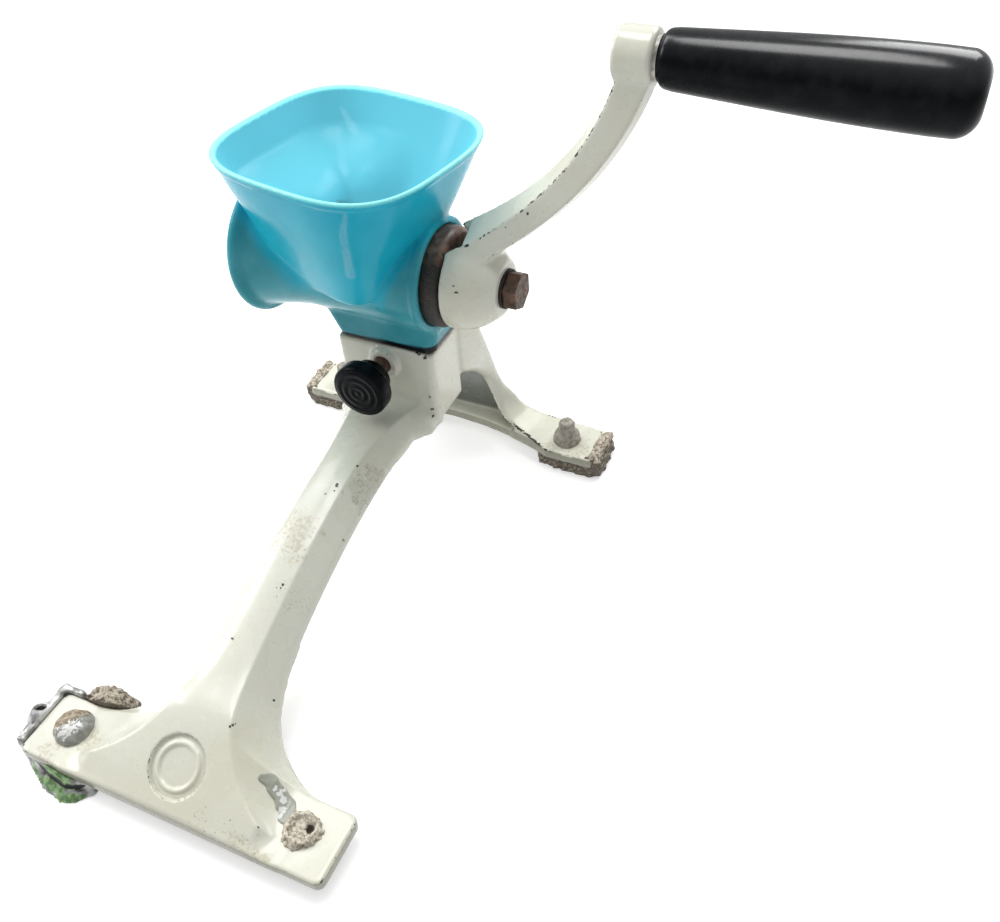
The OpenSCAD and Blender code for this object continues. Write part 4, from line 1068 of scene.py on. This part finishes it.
def smeared_bolt():
    """Grey bolt with white smears across it and tan putty left on its upper side."""
    m = Finish("smeared_bolt")
    grain = m.noise(1.8, 4, 0.6)
    grey = m.mix(m.noise(4, 4, 0.6).ramp(0.4, 0.62), (0.27, 0.275, 0.25), (0.42, 0.425, 0.40))
    smears = m.noise(3.4, 3, 0.6, stretch=(1.3, 0.5, 1)).ramp(0.46, 0.51) * m.spot((-60, 16, 17.5), 6.5, grain, 0.5)
    left = m.spots(((-66, 20, 16.5, 8.5), (-62, 24, 17, 7)), grain, 0.5)
    tan = m.mix(grain.ramp(0.4, 0.6), (0.24, 0.19, 0.13), (0.50, 0.42, 0.32))
    colour = m.mix(left, m.mix(smears, grey, (0.80, 0.80, 0.78)), tan)
    return m.finish(colour, grain.ramp(0.3, 0.7, 0.28, 0.45) + left * 0.35, m.bump(grain, 0.3, 0.5), metallic=0.15)


def dress(piece, material):
    piece.data.materials.clear()
    piece.data.materials.append(material)


enamel, blue, black, brown = cream_enamel(), blue_plastic(), black_plastic(), brown_collar()
steel = metal("dull_steel", (0.58, 0.57, 0.54), (0.32, 0.3, 0.27))
rusty = metal("rusty_steel", (0.16, 0.09, 0.055), (0.055, 0.035, 0.025), 0.42, 0.4, 5.0)
black_steel = metal("black_steel", (0.04, 0.034, 0.03), (0.012, 0.01, 0.009), 0.5, 0.3)
bronze = metal("bronze", (0.62, 0.45, 0.22), (0.4, 0.28, 0.13))
# The pale putty's pit is darkened: partly painted shade in the crust's deep pit, partly dark grit.
pale_putty = putty("pale_putty", (0.36, 0.30, 0.21), (0.82, 0.77, 0.65), 0.2, ((59.9, 18.0, 13, 2.3),))
dark_putty = putty("dark_putty", (0.28, 0.23, 0.17), (0.68, 0.61, 0.49), 0.75)
worn_bolt = metal("worn_bolt", (0.46, 0.43, 0.37), (0.24, 0.215, 0.18), 0.3, 0.1)
for piece, material in ((stand, enamel), (crank, enamel), (housing, blue), (grip, black), (knob, black), (ring, brown),
                        (hex_bolt, rusty), (foil, foil_metal()), (left_putty, dark_putty), (rear_left, dark_putty),
                        (rear_right, dark_putty), (crust, pale_putty), (sealant, sealant_film()),
                        (front_dome, smeared_bolt()), (rear_domes[0], worn_bolt), (rear_domes[1], worn_bolt)):
    dress(piece, material)
for node, material in (("front_bolt", steel), ("rear_bolts", steel), ("foot_nuts", steel), ("front_left_pad", dark_putty),
                       ("front_right_pad", dark_putty), ("rear_pads", dark_putty), ("putty_plug", dark_putty),
                       ("spindle_bush", bronze), ("clamp_shoe", steel), ("thumb_screw", rusty), ("spindle", steel),
                       ("drum_shell", steel), ("drum_end_plate", steel), ("slicing_blades", steel),
                       ("blade_rivets", steel), ("drum_nut", steel), ("crank_washer", black_steel), ("crank_bolt", rusty),
                       ("grip_pin", steel), ("grip_washer", steel), ("grip_end_washer", steel)):
    dress(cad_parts[node], material)


# Studio
def studio():
    """Pale floor, soft lamps and the photograph's camera."""
    span = 3.0
    points = np.array([[-span, -span, 0], [span, -span, 0], [span, span, 0], [-span, span, 0]]) / MM - TO_ROW
    floor = new_mesh("floor", points, np.array([[0, 1, 2, 3]]), False)
    m = Finish("pale_floor")
    m.finish((0.80, 0.80, 0.80), 0.9, specular=0.0)
    paths = [m.node("ShaderNodeLightPath", out=name) for name in ("Is Camera Ray", "Is Glossy Ray", "Is Transmission Ray")]
    glow = m.node("ShaderNodeEmission", None, (1, 1, 1), (paths[0] + paths[1] + paths[2]) * 0.5)
    both = m.tree.nodes.new("ShaderNodeAddShader")
    m.tree.links.new(m.shader.outputs[0], both.inputs[0])
    m.tree.links.new(glow.socket, both.inputs[1])
    m.tree.links.new(both.outputs[0], m.tree.nodes["Material Output"].inputs[0])
    dress(floor, m.material)
    room = Finish("room", bpy.data.worlds.new("room"))
    bpy.context.scene.world = room.material
    room.shader.inputs["Color"].default_value = (0.97, 0.98, 1.0, 1)
    seen = room.node("ShaderNodeLightPath", out="Is Camera Ray")
    room.tree.links.new(seen.ramp(0, 1, 0.38, 1.0).socket, room.shader.inputs["Strength"])
    aim = Vector((0.06, 0.12, 0.1))
    for name, place, power, size in (("window", (-0.5, 0.45, 0.95), 3.5, 0.5), ("overhead", (0.0, 0.3, 1.3), 5.2, 0.5),
                                     ("side", (-0.9, -0.02, 0.7), 5.4, 0.5), ("back", (0.35, 0.9, 0.8), 4.0, 0.5)):
        data = bpy.data.lights.new(name, "AREA")
        data.energy, data.size = power, size
        lamp = bpy.data.objects.new(name, data)
        lamp.location = place
        lamp.rotation_euler = (aim - Vector(place)).to_track_quat("-Z", "Y").to_euler()
        bpy.context.scene.collection.objects.link(lamp)


def camera():
    """The photograph's viewpoint, worked out from it with a pinhole model."""
    data = bpy.data.cameras.new("camera")
    data.lens, data.sensor_width = 36.0, 36.0
    data.clip_start = 0.01
    seen = bpy.data.objects.new("camera", data)
    right = Vector((0.90914952, 0.41302842, -0.05342912))
    up = Vector((-0.2502638, 0.64435295, 0.72261836))
    back = -Vector((-0.33288913, 0.64359676, -0.68917924))
    turn = Matrix((right, up, back)).transposed().to_4x4()
    seen.matrix_world = Matrix.Translation((0.278277, -0.126413, 0.380685)) @ turn
    bpy.context.scene.collection.objects.link(seen)
    bpy.context.scene.camera = seen


studio()
camera()
bpy.context.scene.view_settings.view_transform = "Standard"
